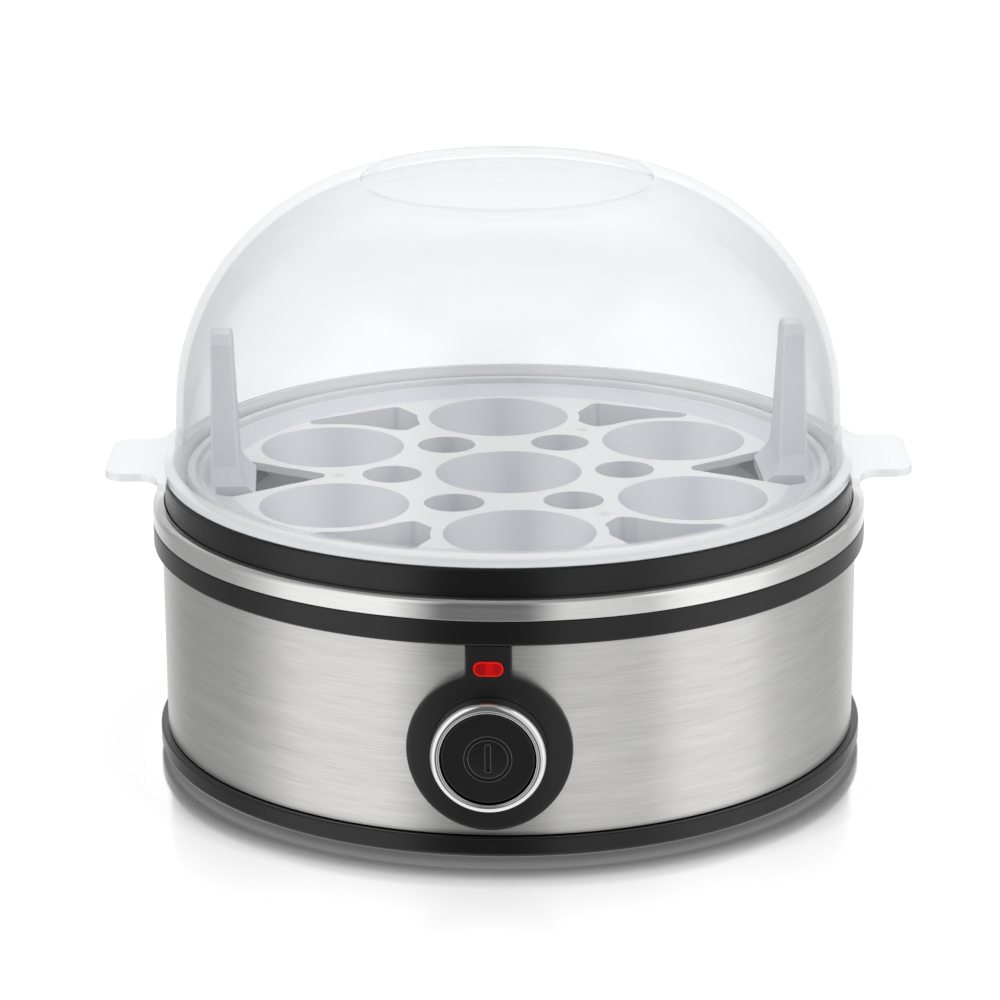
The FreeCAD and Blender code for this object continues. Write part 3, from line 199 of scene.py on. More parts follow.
def brushed(name, dark, light, roughness, streak=0.35, vertical=2600.0, along=6.0):
    """Sheet steel brushed round the body: long fine streaks that run with the circumference."""
    g = material(name)
    _, (x, y, z) = g.place()
    angle = g.math("ARCTAN2", x, g.math("MULTIPLY", y, -1.0))

    def strokes(finer, upward, layer):
        around = g.math("MULTIPLY", angle, along * finer)
        return g.vector(around, g.math("MULTIPLY", z, vertical * upward), layer)

    fine = g.noise(strokes(1.0, 1.0, 0.0), 1.0, 5.0, 0.65)
    broad = g.noise(strokes(0.22, 0.12, 3.0), 1.0, 4.0, 0.6)
    streaks = g.math("ADD", g.math("MULTIPLY", fine, 0.65), g.math("MULTIPLY", broad, 0.35))
    sharp = g.spread(streaks, -0.6, 1.6)
    tangent = g.node("Tangent", direction_type="RADIAL", axis="Z")
    shader = g.principled(
        Base_Color=g.mix_colour(sharp, dark, light),
        Metallic=1.0,
        Roughness=g.spread(streaks, roughness * 0.8, roughness * 1.2),
        Anisotropic=0.8,
        Anisotropic_Rotation=0.25,
        Tangent=tangent.outputs[0],
        Normal=g.bump(streaks, streak, 0.00002))
    g.surface(shader)


def metal(name, dark, light, roughness, size=0.004, bump=0.1):
    """Plain metal with slight tarnish and handling marks."""
    g = material(name)
    coords, _ = g.place()
    cloud = g.noise(coords, 1.0 / size, 5.0, 0.6)
    fine = g.noise(coords, 3000.0, 2.0)
    shader = g.principled(
        Base_Color=g.mix_colour(cloud, dark, light),
        Metallic=1.0,
        Roughness=g.spread(cloud, roughness * 0.7, roughness * 1.3),
        Normal=g.bump(fine, bump, 0.00002))
    g.surface(shader)


def lens_plastic():
    """Red lens with painted light: bands across it, deeper on one side of its middle, a painted highlight
    round its rim and a faint painted glow.
    """
    g = material("red_lens")
    coords, (x, _, z) = g.place()
    low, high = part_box("indicator_lens")
    middle, half, tall = (low[2] + high[2]) / 2, (high[0] - low[0]) / 2, (high[2] - low[2]) / 2
    along = g.math("DIVIDE", x, half)
    straight = g.math("MAXIMUM", g.math("SUBTRACT", g.math("ABSOLUTE", x), half - tall), 0.0)
    up = g.math("SUBTRACT", z, middle)
    out = g.math("SQRT", g.math("ADD", g.math("MULTIPLY", straight, straight), g.math("MULTIPLY", up, up)))
    # Painted highlight: the lens is lighter red near its rim.
    rim = g.ramp(g.math("DIVIDE", out, tall), [(0.0, 0.0), (0.72, 0.0), (0.92, 1.0), (1.0, 0.6)])
    # Painted light: lighter and darker bands across the lens.
    painted_light_bands = g.ramp(g.math("ADD", g.math("MULTIPLY", along, 0.5), 0.5),
                   [(0.0, 0.5), (0.22, 0.25), (0.38, 0.35), (0.46, 0.9), (0.62, 0.8), (0.78, 0.45),
                    (1.0, 0.6)])
    cloud = g.noise(coords, 700.0, 2.0)
    painted_lightness = g.math("MULTIPLY", painted_light_bands, g.spread(cloud, 0.7, 1.2))
    deep = g.mix_colour(painted_lightness, (0.20, 0.0, 0.001), (0.60, 0.0, 0.001))
    shader = g.principled(
        Base_Color=g.mix_colour(rim, deep, (0.80, 0.01, 0.01)),
        Roughness=g.spread(cloud, 0.14, 0.2),
        Specular_IOR_Level=0.25,
        # A faint glow painted into the lens.
        Emission_Color=(0.9, 0.0, 0.0),
        Emission_Strength=0.02)
    g.surface(shader)


def frosted_lid():
    """Clear polypropylene with a slight milky haze, thicker and whiter at the rim and the ears."""
    g = material("lid_plastic")
    coords, (_, _, z) = g.place()
    cloud = g.noise(coords, 14.0, 3.0)
    slant = g.node("LayerWeight")
    g.put(slant.inputs["Blend"], 0.5)
    slant = slant.outputs["Facing"]
    rim_height, fade_rate = 4.2 * MM, 1600.0
    rim_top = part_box("lid")[0][2] + rim_height
    rim = g.math("MULTIPLY", g.math("SUBTRACT", rim_top, z), fade_rate, clamp=True)
    haze = g.math("ADD", g.spread(cloud, 0.030, 0.045), g.math("MULTIPLY", g.math("POWER", slant, 3.0), 0.10))
    haze = g.math("ADD", haze, g.math("MULTIPLY", rim, g.spread(cloud, 0.50, 0.60)))
    clear = g.node("BsdfTransparent")
    g.put(clear.inputs["Color"], (0.952, 0.953, 0.956, 1.0))
    tint = g.mix_colour(rim, (0.93, 0.94, 0.955), (0.86, 0.868, 0.88))
    milk = g.principled(Base_Color=tint, Roughness=0.45)
    gloss = g.glossy((0.90, 0.905, 0.91), g.spread(cloud, 0.10, 0.14))
    shine = g.math("ADD", g.math("MULTIPLY", g.math("POWER", slant, 4.0), 0.8), 0.05)
    g.surface(g.blend(shine, g.blend(haze, clear, milk), gloss))


TRAY_TURN = math.radians(6.1)   # how far the tray is set down round from the button
MARK_CIRCLE = 42.0 * MM         # ejector marks on the deck: their distance from the axis
MARK_RADIUS = 3.0 * MM


def tray_plastic():
    """Pale, slightly translucent polypropylene with ejector marks: white where it lies flat, with painted
    shade and painted highlight bands on its walls.
    """
    g = material("tray_plastic")
    coords, _ = g.place()
    cloud = g.noise(coords, 30.0, 4.0)
    grains = g.noise(coords, 1500.0, 2.0)
    split = g.node("SeparateXYZ")
    g.put(split.inputs[0], g.node("NewGeometry").outputs["True Normal"])
    nx, ny, nz = split.outputs
    # Painted shade: faces that are not level take the darker, cooler wall colour; level faces take the deck
    # colour.
    flat = g.ramp(nz, [(0.0, 0.0), (0.955, 0.0), (0.985, 1.0), (1.0, 1.0)])
    # Painted highlights: the walls are lighter in broad upright bands round each cup, set by which way each
    # wall faces.
    bearing = g.math("ARCTAN2", nx, ny)
    painted_light_bands = g.math("ABSOLUTE", g.math("SINE", g.math("MULTIPLY", bearing, 2.0)))
    painted_light_bands = g.math("MULTIPLY", painted_light_bands, g.math("SUBTRACT", 1.0, g.math("POWER", g.math("ABSOLUTE", nz), 2.0)))
    wall_highlight = g.math("ADD", g.math("MULTIPLY", painted_light_bands, 0.8), g.math("MULTIPLY", cloud, 0.3), clamp=True)
    # The walls' colour: a cool painted shade, lighter in the painted highlight bands.
    shaded_walls = g.mix_colour(wall_highlight, (0.72, 0.752, 0.81), (0.94, 0.953, 0.975))
    deck = g.mix_colour(cloud, (0.94, 0.942, 0.945), (0.97, 0.97, 0.972))
    nearest = 1.0
    for degrees in (60, 180, 300):
        angle = TRAY_TURN + math.radians(degrees)
        apart = g.node("VectorMath", operation="DISTANCE")
        g.put(apart.inputs[0], coords)
        g.put(apart.inputs[1], (MARK_CIRCLE * math.cos(angle), MARK_CIRCLE * math.sin(angle), DECK_LEVEL))
        nearest = g.math("MINIMUM", nearest, apart.outputs["Value"])
    mark = g.ramp(g.math("DIVIDE", nearest, MARK_RADIUS), [(0.0, 0.75), (0.35, 0.6), (0.5, 0.15), (1.0, 0.0)])
    deck = g.mix_colour(mark, deck, (0.62, 0.60, 0.56))
    shader = g.principled(
        Base_Color=g.mix_colour(flat, shaded_walls, deck),
        Roughness=g.spread(cloud, 0.26, 0.34),
        Normal=g.bump(grains, 0.05, 0.00002))
    through = g.node("BsdfTranslucent")
    g.put(through.inputs["Color"], (0.80, 0.82, 0.86, 1.0))
    g.surface(g.blend(0.15, shader, through))


def make_materials():
    """Every finish: one for each material slot of the record, and one for the painted highlights round the
    button's mark.
    """
    moulded("black_plastic", (0.0028, 0.0028, 0.003), (0.0042, 0.0042, 0.0045), 0.24, grain=0.03, IOR=1.46)
    moulded("panel_plastic", (0.004, 0.004, 0.0042), (0.006, 0.006, 0.0063), 0.32, grain=0.1)
    moulded("button_plastic", (0.003, 0.003, 0.0035), (0.0045, 0.0045, 0.005), 0.3)
    moulded("rubber", (0.012, 0.012, 0.012), (0.020, 0.020, 0.020), 0.7, grain=0.4)
    moulded("silicone", (0.45, 0.42, 0.40), (0.52, 0.50, 0.48), 0.5)
    brushed("brushed_steel", (0.52, 0.515, 0.51), (0.77, 0.765, 0.757), 0.31)
    brushed("brushed_steel_bright", (0.72, 0.715, 0.71), (0.86, 0.855, 0.85), 0.18, streak=0.2)
    brushed("plate_aluminium", (0.78, 0.78, 0.78), (0.88, 0.88, 0.885), 0.36, streak=0.15)
    metal("element_sheath", (0.20, 0.19, 0.18), (0.32, 0.30, 0.29), 0.5)
    metal("zinc_screw", (0.50, 0.51, 0.53), (0.68, 0.69, 0.71), 0.3)
    metal("zinc_sheet", (0.46, 0.47, 0.49), (0.64, 0.65, 0.67), 0.35)
    metal("brass_screw", (0.58, 0.42, 0.17), (0.74, 0.57, 0.27), 0.28)
    metal("spring_steel", (0.40, 0.40, 0.41), (0.58, 0.58, 0.59), 0.25)
    metal("chrome", (0.80, 0.80, 0.81), (0.86, 0.86, 0.87), 0.07, size=0.02, bump=0.02)
    moulded("bakelite", (0.025, 0.016, 0.012), (0.05, 0.03, 0.022), 0.35)
    moulded("glass_sleeve", (0.62, 0.60, 0.55), (0.74, 0.72, 0.68), 0.6)
    moulded("natural_nylon", (0.68, 0.66, 0.60), (0.78, 0.76, 0.70), 0.45)
    moulded("lamp_glass", (0.55, 0.30, 0.24), (0.75, 0.45, 0.35), 0.08)
    moulded("brown_lead", (0.10, 0.035, 0.015), (0.14, 0.05, 0.02), 0.42)
    moulded("blue_lead", (0.015, 0.06, 0.30), (0.02, 0.09, 0.40), 0.42)
    moulded("green_lead", (0.04, 0.24, 0.03), (0.30, 0.38, 0.03), 0.42)
    moulded("white_lead", (0.66, 0.65, 0.62), (0.76, 0.75, 0.72), 0.42)
    # Light grey for the painted highlights round the button's mark.
    moulded("painted_mark_highlight", (0.05, 0.05, 0.053), (0.09, 0.09, 0.095), 0.22)
    lens_plastic()
    frosted_lid()
    tray_plastic()


def dress_nodes():
    """Gives each CAD node the finish of its material slot."""
    for name, obj in frame["nodes"].items():
        finish = materials[PARTS[name]]
        if not obj.material_slots:
            obj.data.materials.append(finish)
        for holder in obj.material_slots:
            holder.material = finish


# ---------------------------------------------------------------- shape helpers
def sweep(centre, start, end, steps):
    """Points on the shorter arc from start to end round centre, both ends included."""
    first = math.atan2(start.y - centre.y, start.x - centre.x)
    turn = math.remainder(math.atan2(end.y - centre.y, end.x - centre.x) - first, TURN)
    radius = (start - centre).length
    angles = [first + turn * k / steps for k in range(steps + 1)]
    return [centre + Vector((math.cos(angle), math.sin(angle))) * radius for angle in angles]


def rounded(corners, steps=6):
    """The points of a closed outline. A corner is (across, up) or (across, up, radius of its round)."""
    points = []
    for i, corner in enumerate(corners):
        here = Vector(corner[:2])
        if len(corner) < 3:
            points.append(here)
            continue
        back = (Vector(corners[i - 1][:2]) - here).normalized()
        ahead = (Vector(corners[(i + 1) % len(corners)][:2]) - here).normalized()
        half = back.angle(ahead) / 2
        reach = corner[2] / math.tan(half)
        centre = here + (back + ahead).normalized() * (corner[2] / math.sin(half))
        points += sweep(centre, here + back * reach, here + ahead * reach, steps)
    return points


def bow(start, end, radius, bulge=1, steps=48):
    """The points between start and end on an arc that bulges to the right of the way, or left for -1."""
    start, end = Vector(start), Vector(end)
    chord = end - start
    side = Vector((chord.y, -chord.x)).normalized() * bulge
    centre = (start + end) / 2 - side * math.sqrt(radius ** 2 - (chord.length / 2) ** 2)
    return [tuple(point) for point in sweep(centre, start, end, steps)[1:-1]]


def finished_mesh(made, name):
    """Closes a bmesh: no doubles, no loose edges, faces turned outward."""
    bmesh.ops.remove_doubles(made, verts=made.verts, dist=1e-7)
    loose = [edge for edge in made.edges if not edge.link_faces]
    bmesh.ops.delete(made, geom=loose, context="EDGES")
    bmesh.ops.recalc_face_normals(made, faces=made.faces)
    mesh = bpy.data.meshes.new(name)
    made.to_mesh(mesh)
    made.free()
    return mesh


def turned(outline, segments=240, centre=(0, 0, 0), forward=False):
    """A solid of revolution from an outline of (radius, height) in mm, about Z or, forward, about -Y."""
    made = bmesh.new()
    rings = []
    for k in range(segments):
        angle = TURN * k / segments
        ring = []
        for radius, height in outline:
            x, y = radius * math.cos(angle), radius * math.sin(angle)
            spot = Vector((x, -height, y)) if forward else Vector((x, y, height))
            ring.append(made.verts.new((spot + Vector(centre)) * MM))
        rings.append(ring)
    count = len(outline)
    for k in range(segments):
        here, there = rings[k], rings[(k + 1) % segments]
        for i in range(count):
            j = (i + 1) % count
            if outline[i][0] > 0 or outline[j][0] > 0:
                made.faces.new((here[i], there[i], there[j], here[j]))
    return finished_mesh(made, "turned")


def prism(outline, low, high, turn=0.0, forward=False):
    """A straight prism over a closed outline in mm, upright or, forward, along -Y; turned about Z."""
    made = bmesh.new()
    spin = Matrix.Rotation(turn, 3, "Z")
    layers = []
    for level in (low, high):
        spots = [Vector((x, -level, y)) if forward else Vector((x, y, level)) for x, y in outline]
        layers.append([made.verts.new(spin @ spot * MM) for spot in spots])
    for i in range(len(outline)):
        j = (i + 1) % len(outline)
        made.faces.new((layers[0][i], layers[0][j], layers[1][j], layers[1][i]))
    made.faces.new(layers[0][::-1])
    made.faces.new(layers[1])
    return finished_mesh(made, "prism")


def combined(first, operation, others):
    """The mesh of first joined with (UNION) or cut by (DIFFERENCE) the other meshes."""
    scene = bpy.context.scene
    working = [bpy.data.objects.new("working", mesh) for mesh in [first] + others]
    for obj in working:
        scene.collection.objects.link(obj)
    for tool in working[1:]:
        step = working[0].modifiers.new("step", "BOOLEAN")
        step.operation = operation
        step.solver = "EXACT"
        step.object = tool
    graph = bpy.context.evaluated_depsgraph_get()
    mesh = bpy.data.meshes.new_from_object(working[0].evaluated_get(graph))
    for obj in working:
        bpy.data.objects.remove(obj)
    return mesh


def stand_for(node, mesh, sharp=32):
    """Shows mesh in place of the CAD node, on the node's body and with its finish."""
    obj = bpy.data.objects.new(node + "_skin", mesh)
    mesh.name = obj.name
    mesh.materials.clear()
    mesh.materials.append(materials[PARTS[node]])
    mesh.shade_smooth()
    mesh.set_sharp_from_angle(angle=math.radians(sharp))
    bpy.context.scene.collection.objects.link(obj)
    weigh = obj.modifiers.new("level_faces", "WEIGHTED_NORMAL")
    weigh.keep_sharp = True
    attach(obj, next(body for body, nodes in BODIES.items() if node in nodes))
    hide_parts(node)


def extent(node):
    """A node's outer radius (half its X width), lowest and highest level, in mm."""
    low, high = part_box(node)
    return (high[0] - low[0]) / 2 / MM, low[2] / MM, high[2] / MM


# ---------------------------------------------------------------- turned rings
SHEET = 0.5                     # steel sheet, mm


def middle_band():
    """Black ring between the two steel bands."""
    outer, bottom, top = extent("middle_band")
    depth = 4.6
    inner = outer - depth
    stand_for("middle_band", turned(rounded([
        (inner, bottom), (outer, bottom, 0.6), (outer, top, 0.6), (inner, top)])))


def upper_steel_band():
    """Rolled steel band: a rounded shoulder at the top, turned in to a narrow lip."""
    outer, bottom, top = extent("upper_steel_band")
    inner = outer - SHEET
    lip, shoulder, edge = 85.2, 1.8, 0.1
    stand_for("upper_steel_band", turned(rounded([
        (inner, bottom), (outer, bottom, 0.15), (outer, top, shoulder), (lip, top, edge), (lip, top - SHEET),
        (inner, top - SHEET, shoulder - SHEET)], steps=10)))


def top_ring():
    """Black ring under the lid, with its rebate for the lid, bore and seat for the water plate."""
    _, bottom, top = extent("top_ring")
    outer, skirt = 85.0, 86.6
    rebate, bore, seat, inside = 81.3, 77.6, 70.0, 82.8
    rebate_depth, seat_gauge, taper, rim_round, edge_round = 1.05, 2.5, 1.6, 0.8, 0.35
    step = extent("upper_steel_band")[2] - SHEET - 0.15
    floor = top - rebate_depth
    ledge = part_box("plate_gasket")[0][2] / MM
    under = ledge - seat_gauge
    ring = turned(rounded([
        (outer, top, rim_round), (rebate, top, edge_round), (rebate, floor), (bore, floor, edge_round),
        (bore, ledge), (seat, ledge), (seat, under), (inside, under), (inside, bottom), (skirt, bottom),
        (skirt, step - taper), (outer, step)]))
    stud_circle, stud_hole = 73.6, 2.2
    holes = [post(stud_circle, degrees, stud_hole, ledge - 6.0, ledge + 2.0) for degrees in (90, 210, 330)]
    stand_for("top_ring", combined(ring, "DIFFERENCE", holes))


def post(circle, degrees, radius, low, high, sides=32):
    """A round bar at a place on a circle round the axis."""
    x, y = circle * math.cos(math.radians(degrees)), circle * math.sin(math.radians(degrees))
    return prism([(x + radius * math.cos(TURN * k / sides), y + radius * math.sin(TURN * k / sides))
                  for k in range(sides)], low, high)


def bottom_cover():
    """Black base: the ring below the steel, upstand, screw bosses and recesses for the feet."""
    outer, bottom, _ = extent("bottom_cover")
    gap, upstand, inside, outside = 0.3, 6.0, 80.4, 82.6
    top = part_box("steel_wrap")[0][2] / MM - gap
    floor = bottom + 2.2
    base = turned(rounded([
        (0, bottom), (outer, bottom, 1.2), (outer, top, 0.6), (outside, top), (outside, top + upstand),
        (inside, top + upstand), (inside, floor), (0, floor)], steps=8))
    screws, feet = (60, 180, 300), (45, 135, 225, 315)
    screw_circle, foot_circle, through = 75.5, 71.0, bottom - 1.0
    bosses = [post(screw_circle, degrees, 4.6, floor - 0.5, top + 0.2) for degrees in screws]
    sinks = [post(screw_circle, degrees, 3.4, through, bottom + 2.4) for degrees in screws]
    shafts = [post(screw_circle, degrees, 1.7, through, bottom + 12.0) for degrees in screws]
    recesses = [post(foot_circle, degrees, 6.2, through, bottom + 1.0, sides=64) for degrees in feet]
    whole = combined(base, "UNION", bosses)
    stand_for("bottom_cover", combined(whole, "DIFFERENCE", sinks + shafts + recesses))


# ---------------------------------------------------------------- control
PANEL_Z = 27.5                  # height of the button's axis, mm
HUB = Vector((0, PANEL_Z))      # the axis in the panel's own plane: (across, up)
DISC = 19.2                     # panel disc's radius
NECK = 5.4                      # half the neck's width
FLARE = 2.0                     # fillet between neck and disc


def keyhole(inset, top):
    """The panel's outline, moved inward by inset, from the disc's bottom round to it again."""
    disc, neck = DISC - inset, NECK - inset
    aside = NECK + FLARE
    rise = math.sqrt((DISC + FLARE) ** 2 - aside ** 2)
    centre = Vector((aside, PANEL_Z + rise))
    touch = HUB + (centre - HUB).normalized() * disc
    first = -math.pi / 2
    last = math.atan2(touch.y - PANEL_Z, touch.x)
    steps, spans = 72, 4
    angles = [first + (last - first) * k / steps for k in range(steps + 1)]
    lower = [Vector((disc * math.cos(angle), PANEL_Z + disc * math.sin(angle))) for angle in angles]
    fillet = sweep(centre, touch, Vector((neck, centre.y)), 10)[1:]
    side = [Vector((neck, centre.y + (top - centre.y) * k / spans)) for k in range(1, spans + 1)]
    head = [Vector((neck * (1 - k / spans), top)) for k in range(1, spans + 1)]
    right = lower + fillet + side + head
    left = [Vector((-p.x, p.y)) for p in right[-2:0:-1]]
    return right + left


def control_panel():
    """Keyhole plate wrapped round the steel, with a fine bevel and a seat for the chromed ring."""
    face, back, seat = 87.6, 85.95, 86.4
    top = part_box("middle_band")[0][2] / MM - 0.1
    mouth, bore, bevel, rows = 13.6, 13.05, 0.35, 8
    made = bmesh.new()

    def wrapped(point, radius):
        """A point of the flat outline laid on a cylinder round the model's axis."""
        return made.verts.new(Vector((point.x, -math.sqrt(radius ** 2 - point.x ** 2), point.y)) * MM)

    def circle(radius):
        """The points round the button's axis that face those of the outline."""
        return [HUB + (point - HUB).normalized() * radius for point in inner]

    edge, middle, inner = keyhole(0.0, top), keyhole(0.12, top), keyhole(bevel, top)
    rim, hole = circle(mouth), circle(bore)
    layers = [[wrapped(p, back) for p in edge], [wrapped(p, face - bevel) for p in edge],
              [wrapped(p, face - 0.1) for p in middle]]
    layers += [[wrapped(p.lerp(q, k / rows), face) for p, q in zip(inner, rim)] for k in range(rows + 1)]
    layers += [[wrapped(p, seat) for p in rim], [wrapped(p, seat) for p in hole]]
    layers.append([wrapped(p, back) for p in hole])
    count = len(edge)
    for here, there in zip(layers, layers[1:] + layers[:1]):
        for i in range(count):
            j = (i + 1) % count
            made.faces.new((here[i], here[j], there[j], there[i]))
    plate = finished_mesh(made, "plate")
    low, high = [corner / MM for corner in map(Vector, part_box("indicator_lens"))]
    play, near, far = 0.3, 80.0, 95.0
    window = stadium(high.x - low.x + play, high.z - low.z + play, (high.z + low.z) / 2)
    cutter = prism(window, near, far, forward=True)
    stand_for("control_panel", combined(plate, "DIFFERENCE", [cutter]))


def stadium(wide, tall, level, steps=16):
    """A flat-sided oval round x 0, level, in mm."""
    half, radius = (wide - tall) / 2, tall / 2
    points = []
    for side, start in ((1, -math.pi / 2), (-1, math.pi / 2)):
        angles = [start + math.pi * k / steps for k in range(steps + 1)]
        points += [(half * side + radius * math.cos(angle), level + radius * math.sin(angle))
                   for angle in angles]
    return points


def button_bezel():
    """Chromed ring: flared skirt, full round front, a fine groove and a thin inner lip."""
    outer, _, _ = extent("button_bezel")
    front = -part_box("button_bezel")[0][1] / MM
    bore, sleeve, crown, tail = 11.15, 13.0, 13.25, 80.0
    shelf, skirt = 86.5, 88.2
    groove = front - 0.5
    outline = rounded([
        (bore, tail), (sleeve, tail), (sleeve, shelf), (outer, shelf), (outer, skirt), (crown, front, 1.45),
        (11.6, front - 0.08, 0.2), (11.54, groove), (11.44, groove), (11.4, front - 0.1, 0.12),
        (bore, front - 0.14, 0.1)], steps=10)
    stand_for("button_bezel", turned(outline, 192, (0, 0, PANEL_Z), forward=True), sharp=50)


def button_cap():
    """Push cap with a ring and a bar pressed into its face, each outlined by a fine raised wire in light grey
    that paints the highlights on the groove edges.
    """
    radius, _, _ = extent("button_cap")
    front = -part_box("button_cap")[0][1] / MM
    back = -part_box("button_cap")[1][1] / MM
    face_gauge, wall, depth, edge = 2.0, 1.5, 0.3, 0.13
    outer, inner = 5.5, 4.6
    half, foot, head = 0.65, PANEL_Z - 3.2, PANEL_Z + 3.5
    outline = rounded([
        (0, front - face_gauge), (radius - wall, front - face_gauge), (radius - wall, back), (radius, back),
        (radius, front, 0.45), (outer, front, edge), (outer, front - depth), (inner, front - depth),
        (inner, front, edge), (0, front)], steps=6)
    bar = [(half, foot), (half, head), (-half, head), (-half, foot)]
    cap = turned(outline, 144, (0, 0, PANEL_Z), forward=True)
    groove = prism(bar, front - depth, front + 1.0, forward=True)
    stand_for("button_cap", combined(cap, "DIFFERENCE", [groove]), sharp=50)
    # Painted highlights: light-grey wires along the edges of the ring and the bar.
    angles = [TURN * k / 96 for k in range(96)]
    loops = [[(ring * math.cos(angle), PANEL_Z + ring * math.sin(angle)) for angle in angles]
             for ring in (inner, outer)]
    loops.append(rounded([(*corner, 0.3) for corner in bar]))
    mark = bpy.data.objects.new("painted_mark_highlight", wires(loops, front, 0.085))
    mark.data.materials.append(materials["painted_mark_highlight"])
    mark.data.shade_smooth()
    bpy.context.scene.collection.objects.link(mark)
    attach(mark, "button")


def wires(loops, forward, radius):
    """Closed round wires along loops of (x, z) in mm, at a distance in front of the axis."""
    curve = bpy.data.curves.new("wires", "CURVE")
    curve.dimensions = "3D"
    curve.bevel_depth = radius * MM
    curve.bevel_resolution = 2
    for loop in loops:
        spline = curve.splines.new("POLY")
        spline.points.add(len(loop) - 1)
        for point, (x, z) in zip(spline.points, loop):
            point.co = (x * MM, -forward * MM, z * MM, 1.0)
        spline.use_cyclic_u = True
    holder = bpy.data.objects.new("wires", curve)
    bpy.context.scene.collection.objects.link(holder)
    mesh = bpy.data.meshes.new_from_object(holder.evaluated_get(bpy.context.evaluated_depsgraph_get()))
    bpy.data.objects.remove(holder)
    return mesh


# ---------------------------------------------------------------- tray
CUP_MOUTH = 17.0 * MM           # holes from this radius up have cups, not collars
DECK_EDGE = 45.0 * MM           # a loop that reaches further than this runs round the whole deck


def deck_openings():
    """The outlines of the deck and of its openings, as loops of points read from the CAD tray."""
    made = bmesh.new()
    made.from_mesh(frame["nodes"]["egg_tray"].data)
    bmesh.ops.remove_doubles(made, verts=made.verts, dist=1e-6)
    made.edges.index_update()
    flat = {face for face in made.faces
            if face.normal.z > 0.999 and all(abs(v.co.z - DECK_LEVEL) < 1e-5 for v in face.verts)}
    edges = {edge for face in flat for edge in face.edges if sum(f in flat for f in edge.link_faces) == 1}
    loops = []
    while edges:
        edge = min(edges, key=lambda e: e.index)
        edges.remove(edge)
        loop = [edge.verts[0], edge.verts[1]]
        while True:
            onward = [e for e in loop[-1].link_edges if e in edges]
            if not onward:
                break
            edges.remove(onward[0])
            loop.append(onward[0].other_vert(loop[-1]))
        loops.append([vert.co.copy() for vert in loop[:-1]])
    made.free()
    return loops


def tray_collars():
    """The collars that run down from the steam holes and slots, moulded in one with the deck."""
    depth, wall, draft, sunk, shoulder = 7.5 * MM, 1.1 * MM, 0.6 * MM, 0.05 * MM, 1.0 * MM
    corners = [(0.0, -sunk), (-draft, -depth), (wall - draft, -depth), (wall, -shoulder)]
    made = bmesh.new()
    for loop in deck_openings():
        middle = sum(loop, Vector()) / len(loop)
        spread = [(point - middle).length for point in loop]
        round_hole = max(spread) - min(spread) < 0.5 * MM
        if max(spread) > DECK_EDGE or (round_hole and max(spread) > CUP_MOUTH):
            continue
        area = sum(a.x * b.y - b.x * a.y for a, b in zip(loop, loop[1:] + loop[:1]))
        side = 1 if area > 0 else -1
        outward = []
        for i, point in enumerate(loop):
            way = (loop[(i + 1) % len(loop)] - loop[i - 1]).normalized()
            outward.append(Vector((way.y, -way.x, 0)) * side)
        rows = [[made.verts.new(point + out * shift + Vector((0, 0, drop)))
                 for point, out in zip(loop, outward)] for shift, drop in corners]
        for here, there in zip(rows, rows[1:] + rows[:1]):
            for i in range(len(loop)):
                j = (i + 1) % len(loop)
                made.faces.new((here[i], here[j], there[j], there[i]))
    mesh = finished_mesh(made, "tray_collars")
    mesh.materials.append(materials["tray_plastic"])
    mesh.shade_smooth()
    mesh.set_sharp_from_angle(angle=math.radians(40))
    obj = bpy.data.objects.new("tray_collars", mesh)
    bpy.context.scene.collection.objects.link(obj)
    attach(obj, "egg_tray_body")


# ---------------------------------------------------------------- lid
LID_TURN = math.radians(3.3)    # how far the lid is set down round from the button
LID_UNDER = 70.85               # under side of the lid's rim, mm
LID_RIM = 84.9                  # the rim's radius


def ear(side):
    """One grip of the lid: a flat tongue whose corners are round and whose roots flow into the rim."""
    root, reach, half, corner, flow = 82.8, 98.72, 15.5, 5.0, 6.5
    waist = LID_RIM + 1.2
    outline = rounded([
        (root, -half - flow - 2.0), (LID_RIM, -half - flow - 1.0), (waist, -half, flow - 1.0),
        (reach, -half, corner), (reach, half, corner), (waist, half, flow - 1.0),
        (LID_RIM, half + flow + 1.0), (root, half + flow + 2.0)], steps=10)
    return prism(outline, LID_UNDER + 0.15, LID_UNDER + 2.15, turn=LID_TURN + side)


def lid():
    """Domed lid of one wall thickness, with a recessed top disc, a rim and two ears."""
    crest = extent("lid")[2]
    neck, shoulder, wall, dome = 82.3, (81.35, 91.2), 1.8, 57.5
    upper, disc, spigot = LID_UNDER + 2.6, crest - 1.1, LID_UNDER - 0.9
    lip = 80.95
    outer_top, inner_top = (36.3, crest), (35.8, disc - wall)
    inner_shoulder = (shoulder[0] - wall, shoulder[1])
    outline = rounded([
        (lip - 1.1, spigot), (lip, spigot), (lip, LID_UNDER), (LID_RIM, LID_UNDER, 0.6),
        (LID_RIM, upper - 0.3, 0.6), (neck, upper + 0.3, 0.5), shoulder, *bow(shoulder, outer_top, dome),
        (*outer_top, 0.25), (35.6, crest, 0.25), (35.1, disc, 0.25), (0, disc), (0, disc - wall), inner_top,
        *bow(inner_top, inner_shoulder, dome - wall, bulge=-1), inner_shoulder, (neck - wall, upper)])
    stand_for("lid", combined(turned(outline, 288), "UNION", [ear(0), ear(math.pi)]), sharp=40)


def make_shapes():
    """The pieces that stand for CAD nodes, and the fine details that the CAD leaves out."""
    for build in (middle_band, upper_steel_band, top_ring, bottom_cover, control_panel, button_bezel,
                  button_cap, tray_collars, lid):
        build()


# ---------------------------------------------------------------- studio
CONTACT_SHADOW_WIDTH = 45 * MM           # how far from the base the painted contact shadow, a stronger mirror image of the base, fades
